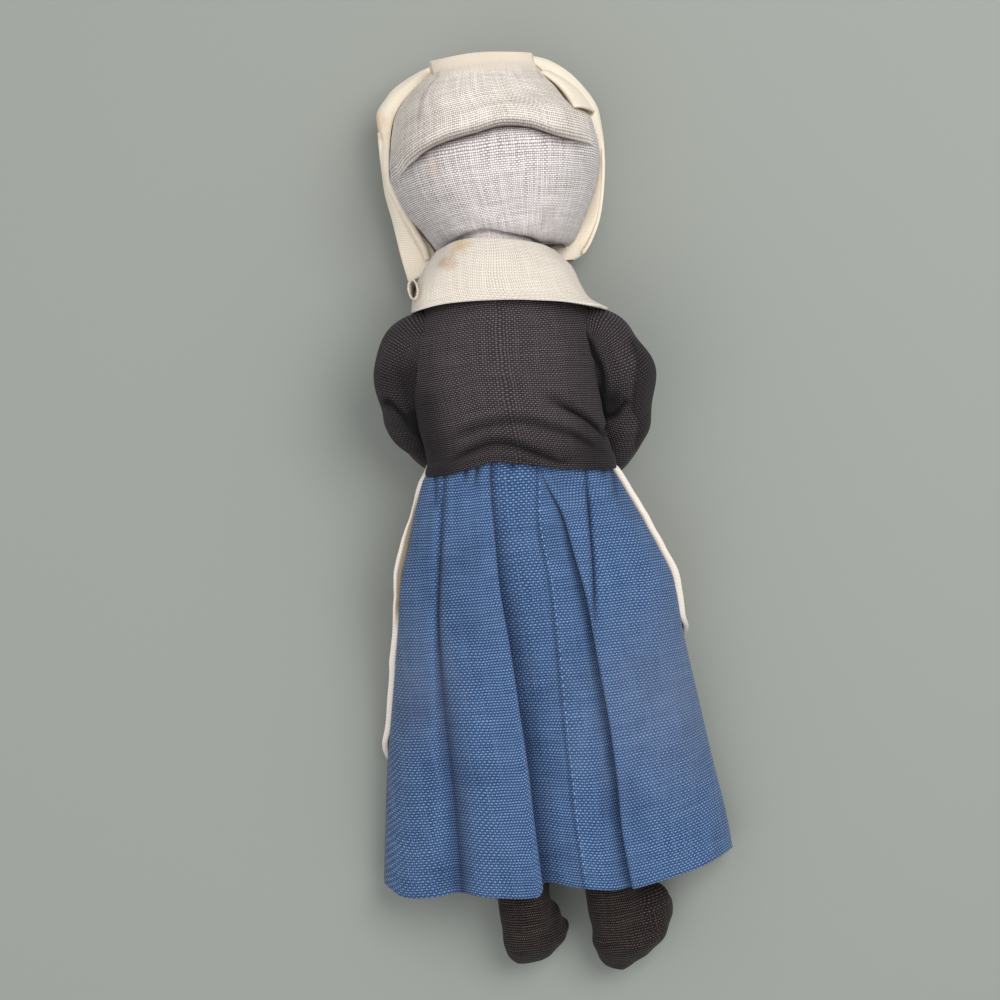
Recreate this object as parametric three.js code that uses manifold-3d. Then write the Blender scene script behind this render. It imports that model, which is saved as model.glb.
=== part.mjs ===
// A stuffed cloth doll of a country woman, lying face down on a table.
// Millimetres. +X is its right, +Y points to its head, +Z is up, out of its back. The table is z = 0.
import * as THREE from "three";
import { mergeVertices } from "three/addons/utils/BufferGeometryUtils.js";
import Module from "manifold-3d";

const wasm = await Module();
wasm.setup();

// Cloth and clearances
const gap = 0.4;
const skinCloth = 1.0;
const jacketCloth = 1.0;
const linenCloth = 1.0;
const skirtCloth = 0.9;
const apronCloth = 0.8;
const bandCloth = 1.2;

// Body
const torsoLength = 65;
const torsoAxisHeight = 33;
const waistHalfWidth = 24;
const waistHalfDepth = 15.5;
const chestHalfWidth = 25;
const chestHalfDepth = 18.5;
const shoulderHalfWidth = 22;
const seatHalfWidth = 19;
const seatHalfDepth = 12;
const neckRadius = 9.5;
const neckPlay = 0.8;
const neckLength = 19;
const neckAxisHeight = 32;
const seatBelowWaist = 10;
const seatShare = 0.06;
const seatTaper = 0.7;
const chestShare = 0.6;
const neckSlopeShare = 0.93;
const chestFlattening = 1;
const domeDegrees = [25, 55];
const hipFlapHalfWidth = 20;
const hipFlapLength = 6;
const hipFlapThickness = 2;
const hipFlapPlay = 0.8;

// Head and bonnet
const headWidth = 56;
const headHeight = 54;
const headDepth = 46;
const headAxisHeight = 30;
const headAboveTorso = 11;
const bonnetFrontBehindFace = 13;
const tuckAboveHeadCentre = -3;
const tuckSlope = 0.45;
const flapHalfWidth = 16;
const flapFall = 9;
const flapDepth = 20;
const brimHalfWidth = 33.2;
const brimRise = 30.5;
const brimLean = 1.6;
const brimTipLean = -2.6;
const brimSwellHeight = 12;
const brimTurnIn = 1.2;
const brimTipHalfWidth = 24.5;
const brimTipAboveTorso = 6;
const brimTipWidth = 8;
const brimFoot = 0.6;
const brimTipLift = 3;
const brimRoundness = 0.7;
const brimFallCurve = 2.2;
const napeOpening = 11.5;

// Kerchief
const kerchiefTopAboveTorso = 9.5;
const kerchiefDrop = 8;
const kerchiefPointDrop = 20;
const kerchiefCollarRadius = 16;
const kerchiefFlare = 2.4;
const kerchiefShoulderShare = 0.6;
const kerchiefFrontDrawn = 0.35;

// Jacket and arms
const jacketHemBelowWaist = 3;
const jacketCollarBelowTop = 3;
const armholeRadius = 4.2;
const shoulderDrop = 12;
const shoulderAboveAxis = 2;
const upperArmLength = 31;
const rightArmLonger = 4;
const upperArmRise = 2.4;
const elbowDrop = 11;
const elbowShare = 0.45;
const shoulderRadius = 6.0;
const elbowRadius = 6.4;
const wristRadius = 4.0;
const handRadius = 4.4;
const handsApart = 2.4;
const handBelowElbow = 12;
const forearmFoot = 0.7;
const forearmMiddle = { out: 0.72, down: 0.55, fall: 0.72 };
const wristPlace = { out: 0.4, down: 0.85 };
const cuffShare = 0.8;

// Skirt and apron
const bandHeight = 6;
const skirtLength = 127;
const skirtHemHalfWidth = 52.5;
const skirtHemLean = -2.6;
const skirtHemBack = 33;
const skirtHemMiddle = 8;
const skirtLands = 0.45;
const skirtSettles = 0.75;
const skirtSpreadCurve = 0.58;
const skirtCornerCurve = 0.45;
const skirtFlatShare = 0.66;
const foldsStart = 0.4;
const hemStep = 5;
const hemStepPlace = -9.5;
const hemStepHalfWidth = 1.5;
const hemStepCurve = 4;
const apronLength = 112;
const apronWrap = 2;
const apronPlay = 0.8;

// Folds of the skirt's back: sideways place at the waist and at the hem
const backFolds = {
  right: { waist: 6, hem: 19.5 },
  left: { waist: -10, hem: -9.5 },
  far: { waist: -23, hem: -33.5 },
};

// The back from its right side to its left: share of the way from one fold to the next, step aside, and rise
const backPanels = [
  { from: "rightSide", to: "right", points: [[0, 0, 0], [0.04, 0, 0.1], [0.12, 0, 0.3], [0.25, 0, 0.6]] },
  { from: "rightSide", to: "right", points: [[0.45, 0, 1], [0.65, 0, 1.3], [0.82, 0, 1.6], [1, 1.6, 2]] },
  { from: "right", to: "left", points: [[0, -0.8, -3.2], [0.3, 0, -2.7], [0.5, 0, -2.1], [0.7, 0, -2.7]] },
  { from: "right", to: "left", points: [[1, 0.9, -3.2], [1, -1.6, 2.4]] },
  { from: "left", to: "far", points: [[0.3, 0, 2.3], [0.55, 0, 2.1], [0.78, 0, 1.2], [1, 2.6, 0.2]] },
  { from: "far", to: "leftSide", points: [[0, 0, -3], [0, -2.6, 0.5], [0.45, 0, 0.9], [0.75, 0, 0.7]] },
  { from: "far", to: "leftSide", points: [[0.9, 0, 0.4], [0.97, 0, 0.1], [1, 0, 0]] },
];
const foldsRoundOff = 1.7;

// Legs
const hipSpacing = 24;
const thighRadius = 10.5;
const kneeRadius = 9.3;
const ankleRadius = 8.2;
const legLength = 118.5;
const legSlope = 13.4;
const hipBelowAxis = 3.6;
const footHalfLength = 13;
const footHalfWidth = 8;
const footHalfHeight = 8.5;
const footReach = 6;
const fillOpening = 4.5;
const rightLegLonger = 4;
const ankleLeans = { left: -3.2, right: 0.8 };
const toeTurns = { left: 40, right: 50 };

// Places worked out from the sizes
const waistY = 14;
const torsoBottom = waistY - seatBelowWaist;
const torsoTop = torsoBottom + torsoLength;
const headCentre = new THREE.Vector3(0, torsoTop + headAboveTorso + headHeight / 2, headAxisHeight);
const bonnetFront = headAxisHeight - headDepth / 2 + bonnetFrontBehindFace;
const shoulderY = torsoTop - shoulderDrop;
const sleeveOutset = gap + jacketCloth;
const jacketChest = chestHalfWidth + gap + jacketCloth;
const upperArmX = jacketChest + gap + elbowRadius + sleeveOutset;
const shoulderX = shoulderHalfWidth + gap + jacketCloth + gap + shoulderRadius + sleeveOutset;
const flapBottom = torsoBottom - hipFlapPlay - hipFlapLength;
const thighTop = thighRadius * Math.cos(THREE.MathUtils.degToRad(domeDegrees[0]));
const hipY = flapBottom - hipFlapPlay - thighTop;
const hipZ = torsoAxisHeight - hipBelowAxis;
const skirtFloor = apronCloth + apronPlay;
const bandOutset = gap + bandCloth;
const apronBandOutset = bandOutset + gap + linenCloth;
const jacketHemEase = apronBandOutset + gap;
const far = 400;

// Cloth colours
const cloth = (color, roughness = 0.95) => new THREE.MeshStandardMaterial({ color, roughness, metalness: 0 });
const capLinen = cloth(0xe6dcc6);
const kerchiefLinen = cloth(0xe9dfc8);
const apronLinen = cloth(0xe8e2d4);
const jacketWeave = cloth(0x2a2325);
const skirtWeave = cloth(0x5a83b2);
const stockingWeave = cloth(0x2b2524);
const bodyMuslin = cloth(0xe3cdb4);
const cottonFill = cloth(0xece7dc);
const bindingTape = cloth(0xd8d2c4);

const doll = new THREE.Group();

function addPiece(name, geometry, material) {
  const mesh = new THREE.Mesh(geometry, material);
  mesh.name = name;
  doll.add(mesh);
}

// Indexed geometry from points and triangles, turned so that its faces point out.
function closedGeometry(points, triangles) {
  const corners = [new THREE.Vector3(), new THREE.Vector3(), new THREE.Vector3()];
  let volume = 0;
  for (let i = 0; i < triangles.length; i += 3) {
    corners.forEach((corner, k) => corner.copy(points[triangles[i + k]]));
    volume += corners[0].dot(corners[1].cross(corners[2]));
  }
  const geometry = new THREE.BufferGeometry().setFromPoints(points);
  geometry.setIndex(volume < 0 ? [...triangles].reverse() : triangles);
  return geometry;
}

// A row of rings joined into one closed body, with a fan over each end.
function loft(rings) {
  const sides = rings[0].length;
  const points = rings.flat();
  const triangles = [];
  for (let row = 0; row < rings.length - 1; row += 1) {
    for (let i = 0; i < sides; i += 1) {
      const here = row * sides + i;
      const next = row * sides + ((i + 1) % sides);
      triangles.push(here, next, next + sides, here, next + sides, here + sides);
    }
  }
  for (const [row, turn] of [[0, -1], [rings.length - 1, 1]]) {
    const middle = points.length;
    const sum = rings[row].reduce((total, point) => total.add(point), new THREE.Vector3());
    points.push(sum.divideScalar(sides));
    for (let i = 0; i < sides; i += 1) {
      const edge = [row * sides + i, row * sides + ((i + 1) % sides)];
      triangles.push(...(turn > 0 ? edge : edge.reverse()), middle);
    }
  }
  return closedGeometry(points, triangles);
}

// Two matching grids of points, an outer and an inner face, closed round their edges. With wrap, a tube.
function sheet(outer, inner, wrap = false) {
  const rows = outer.length;
  const columns = outer[0].length;
  const spans = wrap ? columns : columns - 1;
  const at = (face, row, i) => face * rows * columns + row * columns + (i % columns);
  const triangles = [];
  const quad = (a, b, c, d) => triangles.push(a, b, c, a, c, d);
  for (let i = 0; i < spans; i += 1) {
    for (let row = 0; row < rows - 1; row += 1) {
      quad(at(0, row, i), at(0, row, i + 1), at(0, row + 1, i + 1), at(0, row + 1, i));
      quad(at(1, row, i + 1), at(1, row, i), at(1, row + 1, i), at(1, row + 1, i + 1));
    }
    quad(at(0, 0, i + 1), at(0, 0, i), at(1, 0, i), at(1, 0, i + 1));
    quad(at(0, rows - 1, i), at(0, rows - 1, i + 1), at(1, rows - 1, i + 1), at(1, rows - 1, i));
  }
  for (let row = 0; row < rows - 1 && !wrap; row += 1) {
    quad(at(0, row, 0), at(0, row + 1, 0), at(1, row + 1, 0), at(1, row, 0));
    const last = columns - 1;
    quad(at(0, row + 1, last), at(0, row, last), at(1, row, last), at(1, row + 1, last));
  }
  return closedGeometry([...outer.flat(), ...inner.flat()], triangles);
}

function solid(geometry) {
  const plain = geometry.clone();
  plain.deleteAttribute("normal");
  plain.deleteAttribute("uv");
  const merged = mergeVertices(plain, 1e-4);
  return new wasm.Manifold(new wasm.Mesh({
    numProp: 3,
    vertProperties: merged.attributes.position.array,
    triVerts: Uint32Array.from(merged.index.array),
  }));
}

function geometryOf(body) {
  const mesh = body.getMesh();
  const geometry = new THREE.BufferGeometry();
  geometry.setAttribute("position", new THREE.BufferAttribute(mesh.vertProperties, 3));
  geometry.setIndex(new THREE.BufferAttribute(mesh.triVerts, 1));
  return geometry;
}

function block(sizeX, sizeY, sizeZ, x, y, z, tilt = 0) {
  return solid(new THREE.BoxGeometry(sizeX, sizeY, sizeZ).rotateX(tilt).translate(x, y, z));
}

function ball(halfX, halfY, halfZ, centre) {
  const form = new THREE.SphereGeometry(1, 18, 10).scale(halfX, halfY, halfZ);
  return solid(form.translate(centre.x, centre.y, centre.z));
}

// A round plug from one point to another.
function plug(radius, from, to) {
  const axis = to.clone().sub(from);
  const form = new THREE.CylinderGeometry(radius, radius, axis.length(), 12);
  const upright = new THREE.Vector3(0, 1, 0);
  const turn = new THREE.Quaternion().setFromUnitVectors(upright, axis.clone().normalize());
  const middle = from.clone().add(to).multiplyScalar(0.5);
  return solid(form.applyQuaternion(turn).translate(middle.x, middle.y, middle.z));
}

const smooth = (from, to, at) => THREE.MathUtils.smoothstep(at, from, to);
const mix = THREE.MathUtils.lerp;
const steps = (count) => Array.from({ length: count + 1 }, (unused, i) => i / count);

// Soft swelling between stations that give a half width and a half depth.
function profile(stations, at) {
  const next = stations.findIndex((station) => station.at >= at);
  const upper = stations[Math.max(1, next)];
  const lower = stations[Math.max(1, next) - 1];
  const share = smooth(lower.at, upper.at, at);
  return { width: mix(lower.width, upper.width, share), depth: mix(lower.depth, upper.depth, share) };
}

function ovalRing(y, halfWidth, halfDepth, height, sides) {
  return steps(sides).slice(0, sides).map((turn) => {
    const angle = turn * 2 * Math.PI;
    return new THREE.Vector3(halfWidth * Math.cos(angle), y, height + halfDepth * Math.sin(angle));
  });
}

// The trunk, fuller at the chest and drawn in to the neck; outset grows it for the clothes.
const trunkStations = [
  { at: 0, width: seatHalfWidth * seatTaper, depth: seatHalfDepth * seatTaper },
  { at: seatShare, width: seatHalfWidth, depth: seatHalfDepth },
  { at: (waistY - torsoBottom) / torsoLength, width: waistHalfWidth, depth: waistHalfDepth },
  { at: chestShare, width: chestHalfWidth, depth: chestHalfDepth },
  { at: 1 - shoulderDrop / torsoLength, width: shoulderHalfWidth, depth: chestHalfDepth - chestFlattening },
  { at: neckSlopeShare, width: (chestHalfWidth + neckRadius) / 2, depth: (chestHalfDepth + neckRadius) / 2 },
  { at: 1, width: neckRadius + neckPlay + skinCloth, depth: neckRadius + neckPlay + skinCloth },
];

const trunkShares = steps(9);
const trunkSides = 20;
const trunkHeights = trunkShares.map((share) => mix(torsoBottom, torsoTop, share));
const trunkForms = trunkShares.map((share) => profile(trunkStations, share));

// Half width and half depth on the faceted trunk at one height.
function trunkAt(y) {
  const place = THREE.MathUtils.clamp((y - torsoBottom) / torsoLength, 0, 1) * (trunkForms.length - 1);
  const row = Math.min(Math.floor(place), trunkForms.length - 2);
  const [lower, upper] = [trunkForms[row], trunkForms[row + 1]];
  const share = place - row;
  return { width: mix(lower.width, upper.width, share), depth: mix(lower.depth, upper.depth, share) };
}

function trunk(outset) {
  const rings = trunkForms.map((form, row) => {
    const y = mix(torsoBottom - outset, torsoTop + outset, trunkShares[row]);
    return ovalRing(y, form.width + outset, form.depth + outset, torsoAxisHeight, trunkSides);
  });
  return solid(loft(rings));
}

// A tube of cloth round the trunk between two heights, eased out by a function of the height.
function trunkTube(bottom, top, easeAt, thickness) {
  const heights = [bottom, ...trunkHeights.filter((y) => y > bottom + gap && y < top - gap), top];
  const rings = (extra) => heights.map((y) => {
    const form = trunkAt(Math.max(y, waistY));
    const ease = easeAt(y) + extra;
    return ovalRing(y, form.width + ease, form.depth + ease, torsoAxisHeight, trunkSides);
  });
  return sheet(rings(thickness), rings(0), true);
}

// A limb along a curve, with domed ends.
function limb(curve, radiusAt, outset, rows, sides) {
  const frames = curve.computeFrenetFrames(rows, false);
  const ring = (row, along, radius) => steps(sides).slice(0, sides).map((turn) => {
    const angle = turn * 2 * Math.PI;
    const point = curve.getPointAt(row / rows).addScaledVector(frames.tangents[row], along);
    point.addScaledVector(frames.normals[row], radius * Math.cos(angle));
    return point.addScaledVector(frames.binormals[row], radius * Math.sin(angle));
  });
  const dome = (row, way) => domeDegrees.map((degrees) => {
    const lift = THREE.MathUtils.degToRad(degrees);
    const radius = radiusAt(row / rows) + outset;
    return ring(row, way * radius * Math.cos(lift), radius * Math.sin(lift));
  });
  const body = steps(rows).map((share, row) => ring(row, 0, radiusAt(share) + outset));
  return solid(loft([...dome(0, -1), ...body, ...dome(rows, 1).reverse()]));
}

// Trunk: a muslin bag, left open at the neck where it was filled
const neckFoot = new THREE.Vector3(0, torsoTop, neckAxisHeight);
const neckTop = new THREE.Vector3(0, torsoTop + neckLength, neckAxisHeight);
const neckBall = ball(neckRadius + gap, neckRadius + gap, neckRadius + gap, neckFoot);
const neckMouth = plug(
  neckRadius + neckPlay,
  new THREE.Vector3(0, torsoTop - skinCloth * 3, neckAxisHeight),
  new THREE.Vector3(0, torsoTop + neckRadius, neckAxisHeight),
);
addPiece("torso_skin", geometryOf(trunk(0).subtract(trunk(-skinCloth)).subtract(neckMouth)), bodyMuslin);
const trunkFill = trunk(-skinCloth - gap).subtract(neckBall).subtract(neckMouth);
addPiece("torso_stuffing", geometryOf(trunkFill), cottonFill);

// Neck roll, domed below so that it rocks in the mouth of the trunk
const neckCurve = new THREE.LineCurve3(neckFoot, neckTop);
addPiece("neck", geometryOf(limb(neckCurve, () => neckRadius, 0, 2, 16)), bodyMuslin);

// Head: a muslin bag drawn up round the neck
const headBall = (outset) => ball(
  headWidth / 2 + outset,
  headHeight / 2 + outset,
  headDepth / 2 + outset,
  headCentre,
);
const neckPocket = plug(
  neckRadius + gap,
  neckFoot,
  new THREE.Vector3(0, neckTop.y + neckRadius + gap, neckAxisHeight),
);
const headShell = headBall(0).subtract(headBall(-skinCloth)).subtract(neckPocket);
addPiece("head_skin", geometryOf(headShell), bodyMuslin);
addPiece("head_stuffing", geometryOf(headBall(-skinCloth - gap).subtract(neckPocket)), cottonFill);

// Bonnet: crown over the back of the head, open in front and at the nape
const faceSide = block(far, far, far, 0, headCentre.y, bonnetFront - far / 2);
const nape = plug(
  napeOpening,
  neckFoot,
  new THREE.Vector3(0, headCentre.y - headHeight / 4, neckAxisHeight),
);
const capShell = (inside, thickness) =>
  headBall(inside + thickness).subtract(headBall(inside)).subtract(faceSide);
addPiece("bonnet_crown", geometryOf(capShell(gap, linenCloth).subtract(nape)), capLinen);

// Upper layer of the bonnet, lapped over the crown along a tuck that climbs towards the back of the head
const bandInside = gap + linenCloth + gap;
const tuckY = headCentre.y + tuckAboveHeadCentre;
const tuckTilt = Math.atan(tuckSlope);
const belowTuck = solid(
  new THREE.BoxGeometry(far, far, far)
    .translate(0, -far / 2, 0)
    .rotateX(-tuckTilt)
    .translate(0, tuckY, headAxisHeight),
);
addPiece("bonnet_band", geometryOf(capShell(bandInside, bandCloth).subtract(belowTuck)), capLinen);

// Square-cornered flap turned back over the top of the bonnet
const flapInside = bandInside + bandCloth + gap;
const flapTop = headCentre.y + headHeight / 2 + flapInside + linenCloth;
const flapRoom = block(
  flapHalfWidth * 2,
  flapFall * 2,
  flapDepth,
  0,
  flapTop,
  bonnetFront + flapDepth / 2,
);
addPiece("bonnet_flap", geometryOf(capShell(flapInside, linenCloth).intersect(flapRoom)), capLinen);

// Brim round the face, from one hanging end over the top to the other.
// Across runs from its seam at the crown over its fullest line to the free edge, turned in a little.
const brimTipY = torsoTop + brimTipAboveTorso;
const brimSeamHeight = bonnetFront - gap;
const crownDepth = headDepth / 2 + gap + linenCloth;
const crownSection = Math.sqrt(1 - ((bonnetFront - headAxisHeight) / crownDepth) ** 2);
function brimPoint(along, across, outset) {
  const side = Math.sign(along);
  const reach = Math.abs(along);
  const spread = Math.min(1, across * 2);
  const swell = Math.sin(spread * Math.PI / 2);
  const drop = 1 - Math.cos(spread * Math.PI / 2);
  const under = Math.max(0, across * 2 - 1);
  const grown = outset - brimTurnIn * under;
  const halfWidth = mix((headWidth / 2 + gap) * crownSection, brimHalfWidth, swell) + grown;
  const rise = mix((headHeight / 2 + gap) * crownSection, brimRise, swell) + grown;
  const z = mix(mix(brimSeamHeight, brimSwellHeight, drop), brimFoot, under);
  if (reach <= 0.5) {
    const angle = (0.5 - reach) * Math.PI;
    const x = side * halfWidth * Math.cos(angle) ** brimRoundness + brimLean * spread;
    const y = headCentre.y + rise * Math.sin(angle) ** brimRoundness;
    return new THREE.Vector3(x, y, z);
  }
  const fall = (reach - 0.5) * 2;
  const tip = brimTipHalfWidth - (1 - across) * linenCloth + outset;
  const x = side * mix(halfWidth, tip, fall ** brimFallCurve) + mix(brimLean * spread, brimTipLean, fall);
  const tipHeight = brimFoot + brimTipLift + brimTipWidth * (1 - across);
  return new THREE.Vector3(x, mix(headCentre.y, brimTipY, fall), mix(z, tipHeight, fall));
}
const brimRows = (outset) => steps(20).map((share) =>
  steps(3).map((across) => brimPoint(share * 2 - 1, across, outset)));
addPiece("bonnet_brim", sheet(brimRows(linenCloth), brimRows(0)), capLinen);

// Arms: bent at the elbow, the forearms brought together in front of the waist
const sleeveClear = sleeveOutset + gap;
function armCurve(side) {
  const shoulderZ = torsoAxisHeight + shoulderAboveAxis;
  const elbowZ = shoulderZ - elbowDrop;
  const wristZ = forearmFoot + sleeveOutset + wristRadius;
  const armLength = upperArmLength + (side > 0 ? rightArmLonger : 0);
  const elbowY = shoulderY - armLength;
  const route = [
    [shoulderX, shoulderY, shoulderZ],
    [upperArmX, shoulderY - armLength / 2, shoulderZ + upperArmRise],
    [upperArmX, elbowY, elbowZ],
    [
      upperArmX * forearmMiddle.out,
      elbowY - handBelowElbow * forearmMiddle.down,
      mix(elbowZ, wristZ, forearmMiddle.fall),
    ],
    [upperArmX * wristPlace.out, elbowY - handBelowElbow * wristPlace.down, wristZ],
    [handsApart / 2 + handRadius, elbowY - handBelowElbow, wristZ],
  ];
  return new THREE.CatmullRomCurve3(route.map(([x, y, z]) => new THREE.Vector3(side * x, y, z)));
}
function armRadius(share) {
  if (share < elbowShare) return mix(shoulderRadius, elbowRadius, share / elbowShare);
  const forearm = (share - elbowShare) / (cuffShare - elbowShare);
  if (share < cuffShare) return mix(elbowRadius, wristRadius, forearm);
  return mix(wristRadius, handRadius, smooth(cuffShare, 1, share));
}
const armPlugs = [];
for (const [name, side] of [["left", -1], ["right", 1]]) {
  const curve = armCurve(side);
  const arm = (outset) => limb(curve, armRadius, outset, 9, 10);
  const shoulder = curve.getPoint(0);
  const inward = new THREE.Vector3(side * (shoulderHalfWidth - skinCloth * 2), shoulder.y, shoulder.z);
  const armhole = plug(armholeRadius, shoulder, inward);
  armPlugs.push(armhole);
  addPiece(`arm_skin_${name}`, geometryOf(arm(0).subtract(arm(-skinCloth)).subtract(armhole)), bodyMuslin);
  addPiece(`arm_stuffing_${name}`, geometryOf(arm(-skinCloth - gap)), cottonFill);
  const cuff = curve.getPointAt(cuffShare);
  const forward = curve.getTangentAt(cuffShare);
  const pastCuff = plug(elbowRadius * 2, cuff, cuff.clone().addScaledVector(forward, far / 8));
  const sleeve = arm(sleeveOutset).subtract(arm(gap)).subtract(armhole).subtract(pastCuff);
  addPiece(`sleeve_${name}`, geometryOf(sleeve), jacketWeave);
}

// Jacket: a tube round the trunk, eased at the hem over the waistbands, with an armhole on each side
const jacketHem = waistY - jacketHemBelowWaist;
const jacketCollar = torsoTop - jacketCollarBelowTop;
const jacketEase = (y) => mix(jacketHemEase, gap, smooth(waistY + bandHeight, waistY + bandHeight * 3, y));
const jacketTube = solid(trunkTube(jacketHem, jacketCollar, jacketEase, jacketCloth));
const jacket = armPlugs.reduce((body, armhole) => body.subtract(armhole), jacketTube);
addPiece("jacket_body", geometryOf(jacket), jacketWeave);

// Kerchief: a cape from the neck over the shoulders, straight behind and drawn to a point in front
const kerchiefTop = torsoTop + kerchiefTopAboveTorso;
const kerchiefSides = 28;
function kerchiefPoint(turn, share, outset) {
  const angle = turn * 2 * Math.PI;
  const front = Math.max(0, -Math.sin(angle)) ** 2;
  const bottom = torsoTop - kerchiefDrop - front * (kerchiefPointDrop - kerchiefDrop);
  const y = mix(kerchiefTop, bottom, share);
  const covered = trunkAt(Math.min(y, torsoTop));
  const least = gap + jacketCloth + gap + outset;
  const drape = smooth(0, 1, share) * kerchiefFlare;
  const collar = kerchiefCollarRadius + outset;
  const shoulder = Math.min(1, share / kerchiefShoulderShare) * (chestHalfWidth - kerchiefCollarRadius)
    * (1 - front * kerchiefFrontDrawn);
  const halfWidth = Math.max(covered.width + least, collar + shoulder) + drape;
  const halfDepth = Math.max(covered.depth + least, collar) + drape;
  return new THREE.Vector3(halfWidth * Math.cos(angle), y, torsoAxisHeight + halfDepth * Math.sin(angle));
}
const kerchiefRows = (outset) => steps(5).map((share) =>
  steps(kerchiefSides).slice(0, kerchiefSides).map((turn) => kerchiefPoint(turn, share, outset)));
const kerchiefCape = solid(sheet(kerchiefRows(linenCloth), kerchiefRows(0), true));
const shoulderRoom = shoulderRadius + sleeveClear;
const kerchief = [-1, 1].reduce((body, side) => {
  const shoulder = armCurve(side).getPoint(0);
  const elbowSide = new THREE.Vector3(shoulder.x, shoulder.y - upperArmLength, shoulder.z);
  const sweep = plug(shoulderRoom, shoulder, elbowSide);
  return body.subtract(ball(shoulderRoom, shoulderRoom, shoulderRoom, shoulder)).subtract(sweep);
}, kerchiefCape);
addPiece("kerchief", geometryOf(kerchief), kerchiefLinen);

// Waistbands, one inside the other under the jacket
const bandTop = waistY + gap + bandHeight;
addPiece("skirt_waistband", trunkTube(waistY + gap, bandTop, () => gap, bandCloth), skirtWeave);
const apronBand = trunkTube(waistY + gap, bandTop, () => bandOutset + gap, linenCloth);
addPiece("apron_waistband", apronBand, bindingTape);

// Skirt: gathered round the waist, its front flat on the apron and its back draped over the legs.
// Two folds lap over a panel between them, and a third is a valley.
const waist = trunkAt(waistY);
const underJacket = jacketHemBelowWaist + gap;
const skirtBack = backPanels.flatMap(({ from, to, points }) =>
  points.map(([share, aside, rise]) => ({ from, to, share, aside, rise })));
const skirtHalfSides = skirtBack.length - 1;
const skirtSides = skirtHalfSides * 2;
const skirtDrops = [0, ...steps(8).map((share) => mix(underJacket, skirtLength, share))];
function skirtPoint(column, drop, outset) {
  const share = Math.max(0, (drop - underJacket) / (skirtLength - underJacket));
  const settle = smooth(0, skirtSettles, share);
  const halfWidth = mix(waist.width + gap, skirtHemHalfWidth, share ** skirtSpreadCurve);
  const lean = skirtHemLean * share;
  const middle = mix(torsoAxisHeight, skirtHemMiddle, settle);
  const place = column % skirtSides;
  if (place > skirtHalfSides) {
    const angle = (place / skirtSides) * 2 * Math.PI;
    const landing = (1 - Math.min(1, share / skirtLands)) ** 2;
    const front = mix(skirtFloor + skirtCloth, torsoAxisHeight - waist.depth - gap, landing);
    const reach = Math.min(1, -Math.sin(angle) / mix(1, skirtFlatShare, settle));
    const flat = reach ** mix(1, skirtCornerCurve, settle);
    const x = (halfWidth + outset) * Math.cos(angle) + lean;
    return new THREE.Vector3(x, waistY - drop, middle - (middle - front + outset) * flat);
  }
  const back = mix(torsoAxisHeight + waist.depth + gap, skirtHemBack, share);
  const lines = { rightSide: lean + halfWidth, leftSide: lean - halfWidth };
  for (const [name, fold] of Object.entries(backFolds)) lines[name] = mix(fold.waist, fold.hem, share);
  const station = skirtBack[place];
  const deep = smooth(0, foldsStart, share);
  const x = mix(lines[station.from], lines[station.to], station.share) + station.aside * deep;
  const aside = THREE.MathUtils.clamp((x - lean) / halfWidth, -1, 1);
  const dome = Math.sqrt(1 - aside * aside);
  const lap = smooth(hemStepPlace - hemStepHalfWidth, hemStepPlace + hemStepHalfWidth, x);
  const y = waistY - drop + hemStep * share ** hemStepCurve * (lap - 0.5) * dome;
  const rise = station.rise * deep * Math.min(1, dome * foldsRoundOff);
  return new THREE.Vector3(x + outset * aside, y, middle + (back - middle + outset) * dome + rise);
}
const skirtColumns = Array.from({ length: skirtSides }, (unused, column) => column);
const skirtRows = (outset) => skirtDrops.map((drop) =>
  skirtColumns.map((column) => skirtPoint(column, drop, outset)));
addPiece("skirt", sheet(skirtRows(skirtCloth), skirtRows(0), true), skirtWeave);

// Apron: over the front of the skirt from side to side, flat where it lies on the table
const apronInside = skirtCloth + apronPlay;
const apronDrops = [...skirtDrops.filter((drop) => drop < apronLength - gap), apronLength];
const lastRow = apronDrops.length - 1;
const lastShare = (apronLength - skirtDrops[lastRow - 1]) / (skirtDrops[lastRow] - skirtDrops[lastRow - 1]);
const apronColumns = Array.from(
  { length: skirtHalfSides + apronWrap * 2 + 1 },
  (unused, i) => skirtHalfSides - apronWrap + i,
);
const apronRows = (outset) => apronDrops.map((drop, row) => apronColumns.map((column) => {
  if (row < lastRow) return skirtPoint(column, drop, outset);
  const above = skirtPoint(column, skirtDrops[row - 1], outset);
  return above.lerp(skirtPoint(column, skirtDrops[row], outset), lastShare);
}));
addPiece("apron", sheet(apronRows(apronInside + apronCloth), apronRows(apronInside)), apronLinen);

// Flat unstuffed end of the trunk's bag, on which the legs are sewn
const hipFlap = new THREE.BoxGeometry(hipFlapHalfWidth * 2, hipFlapLength, hipFlapThickness);
addPiece("hip_flap", hipFlap.translate(0, flapBottom + hipFlapLength / 2, hipZ), bodyMuslin);

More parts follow.
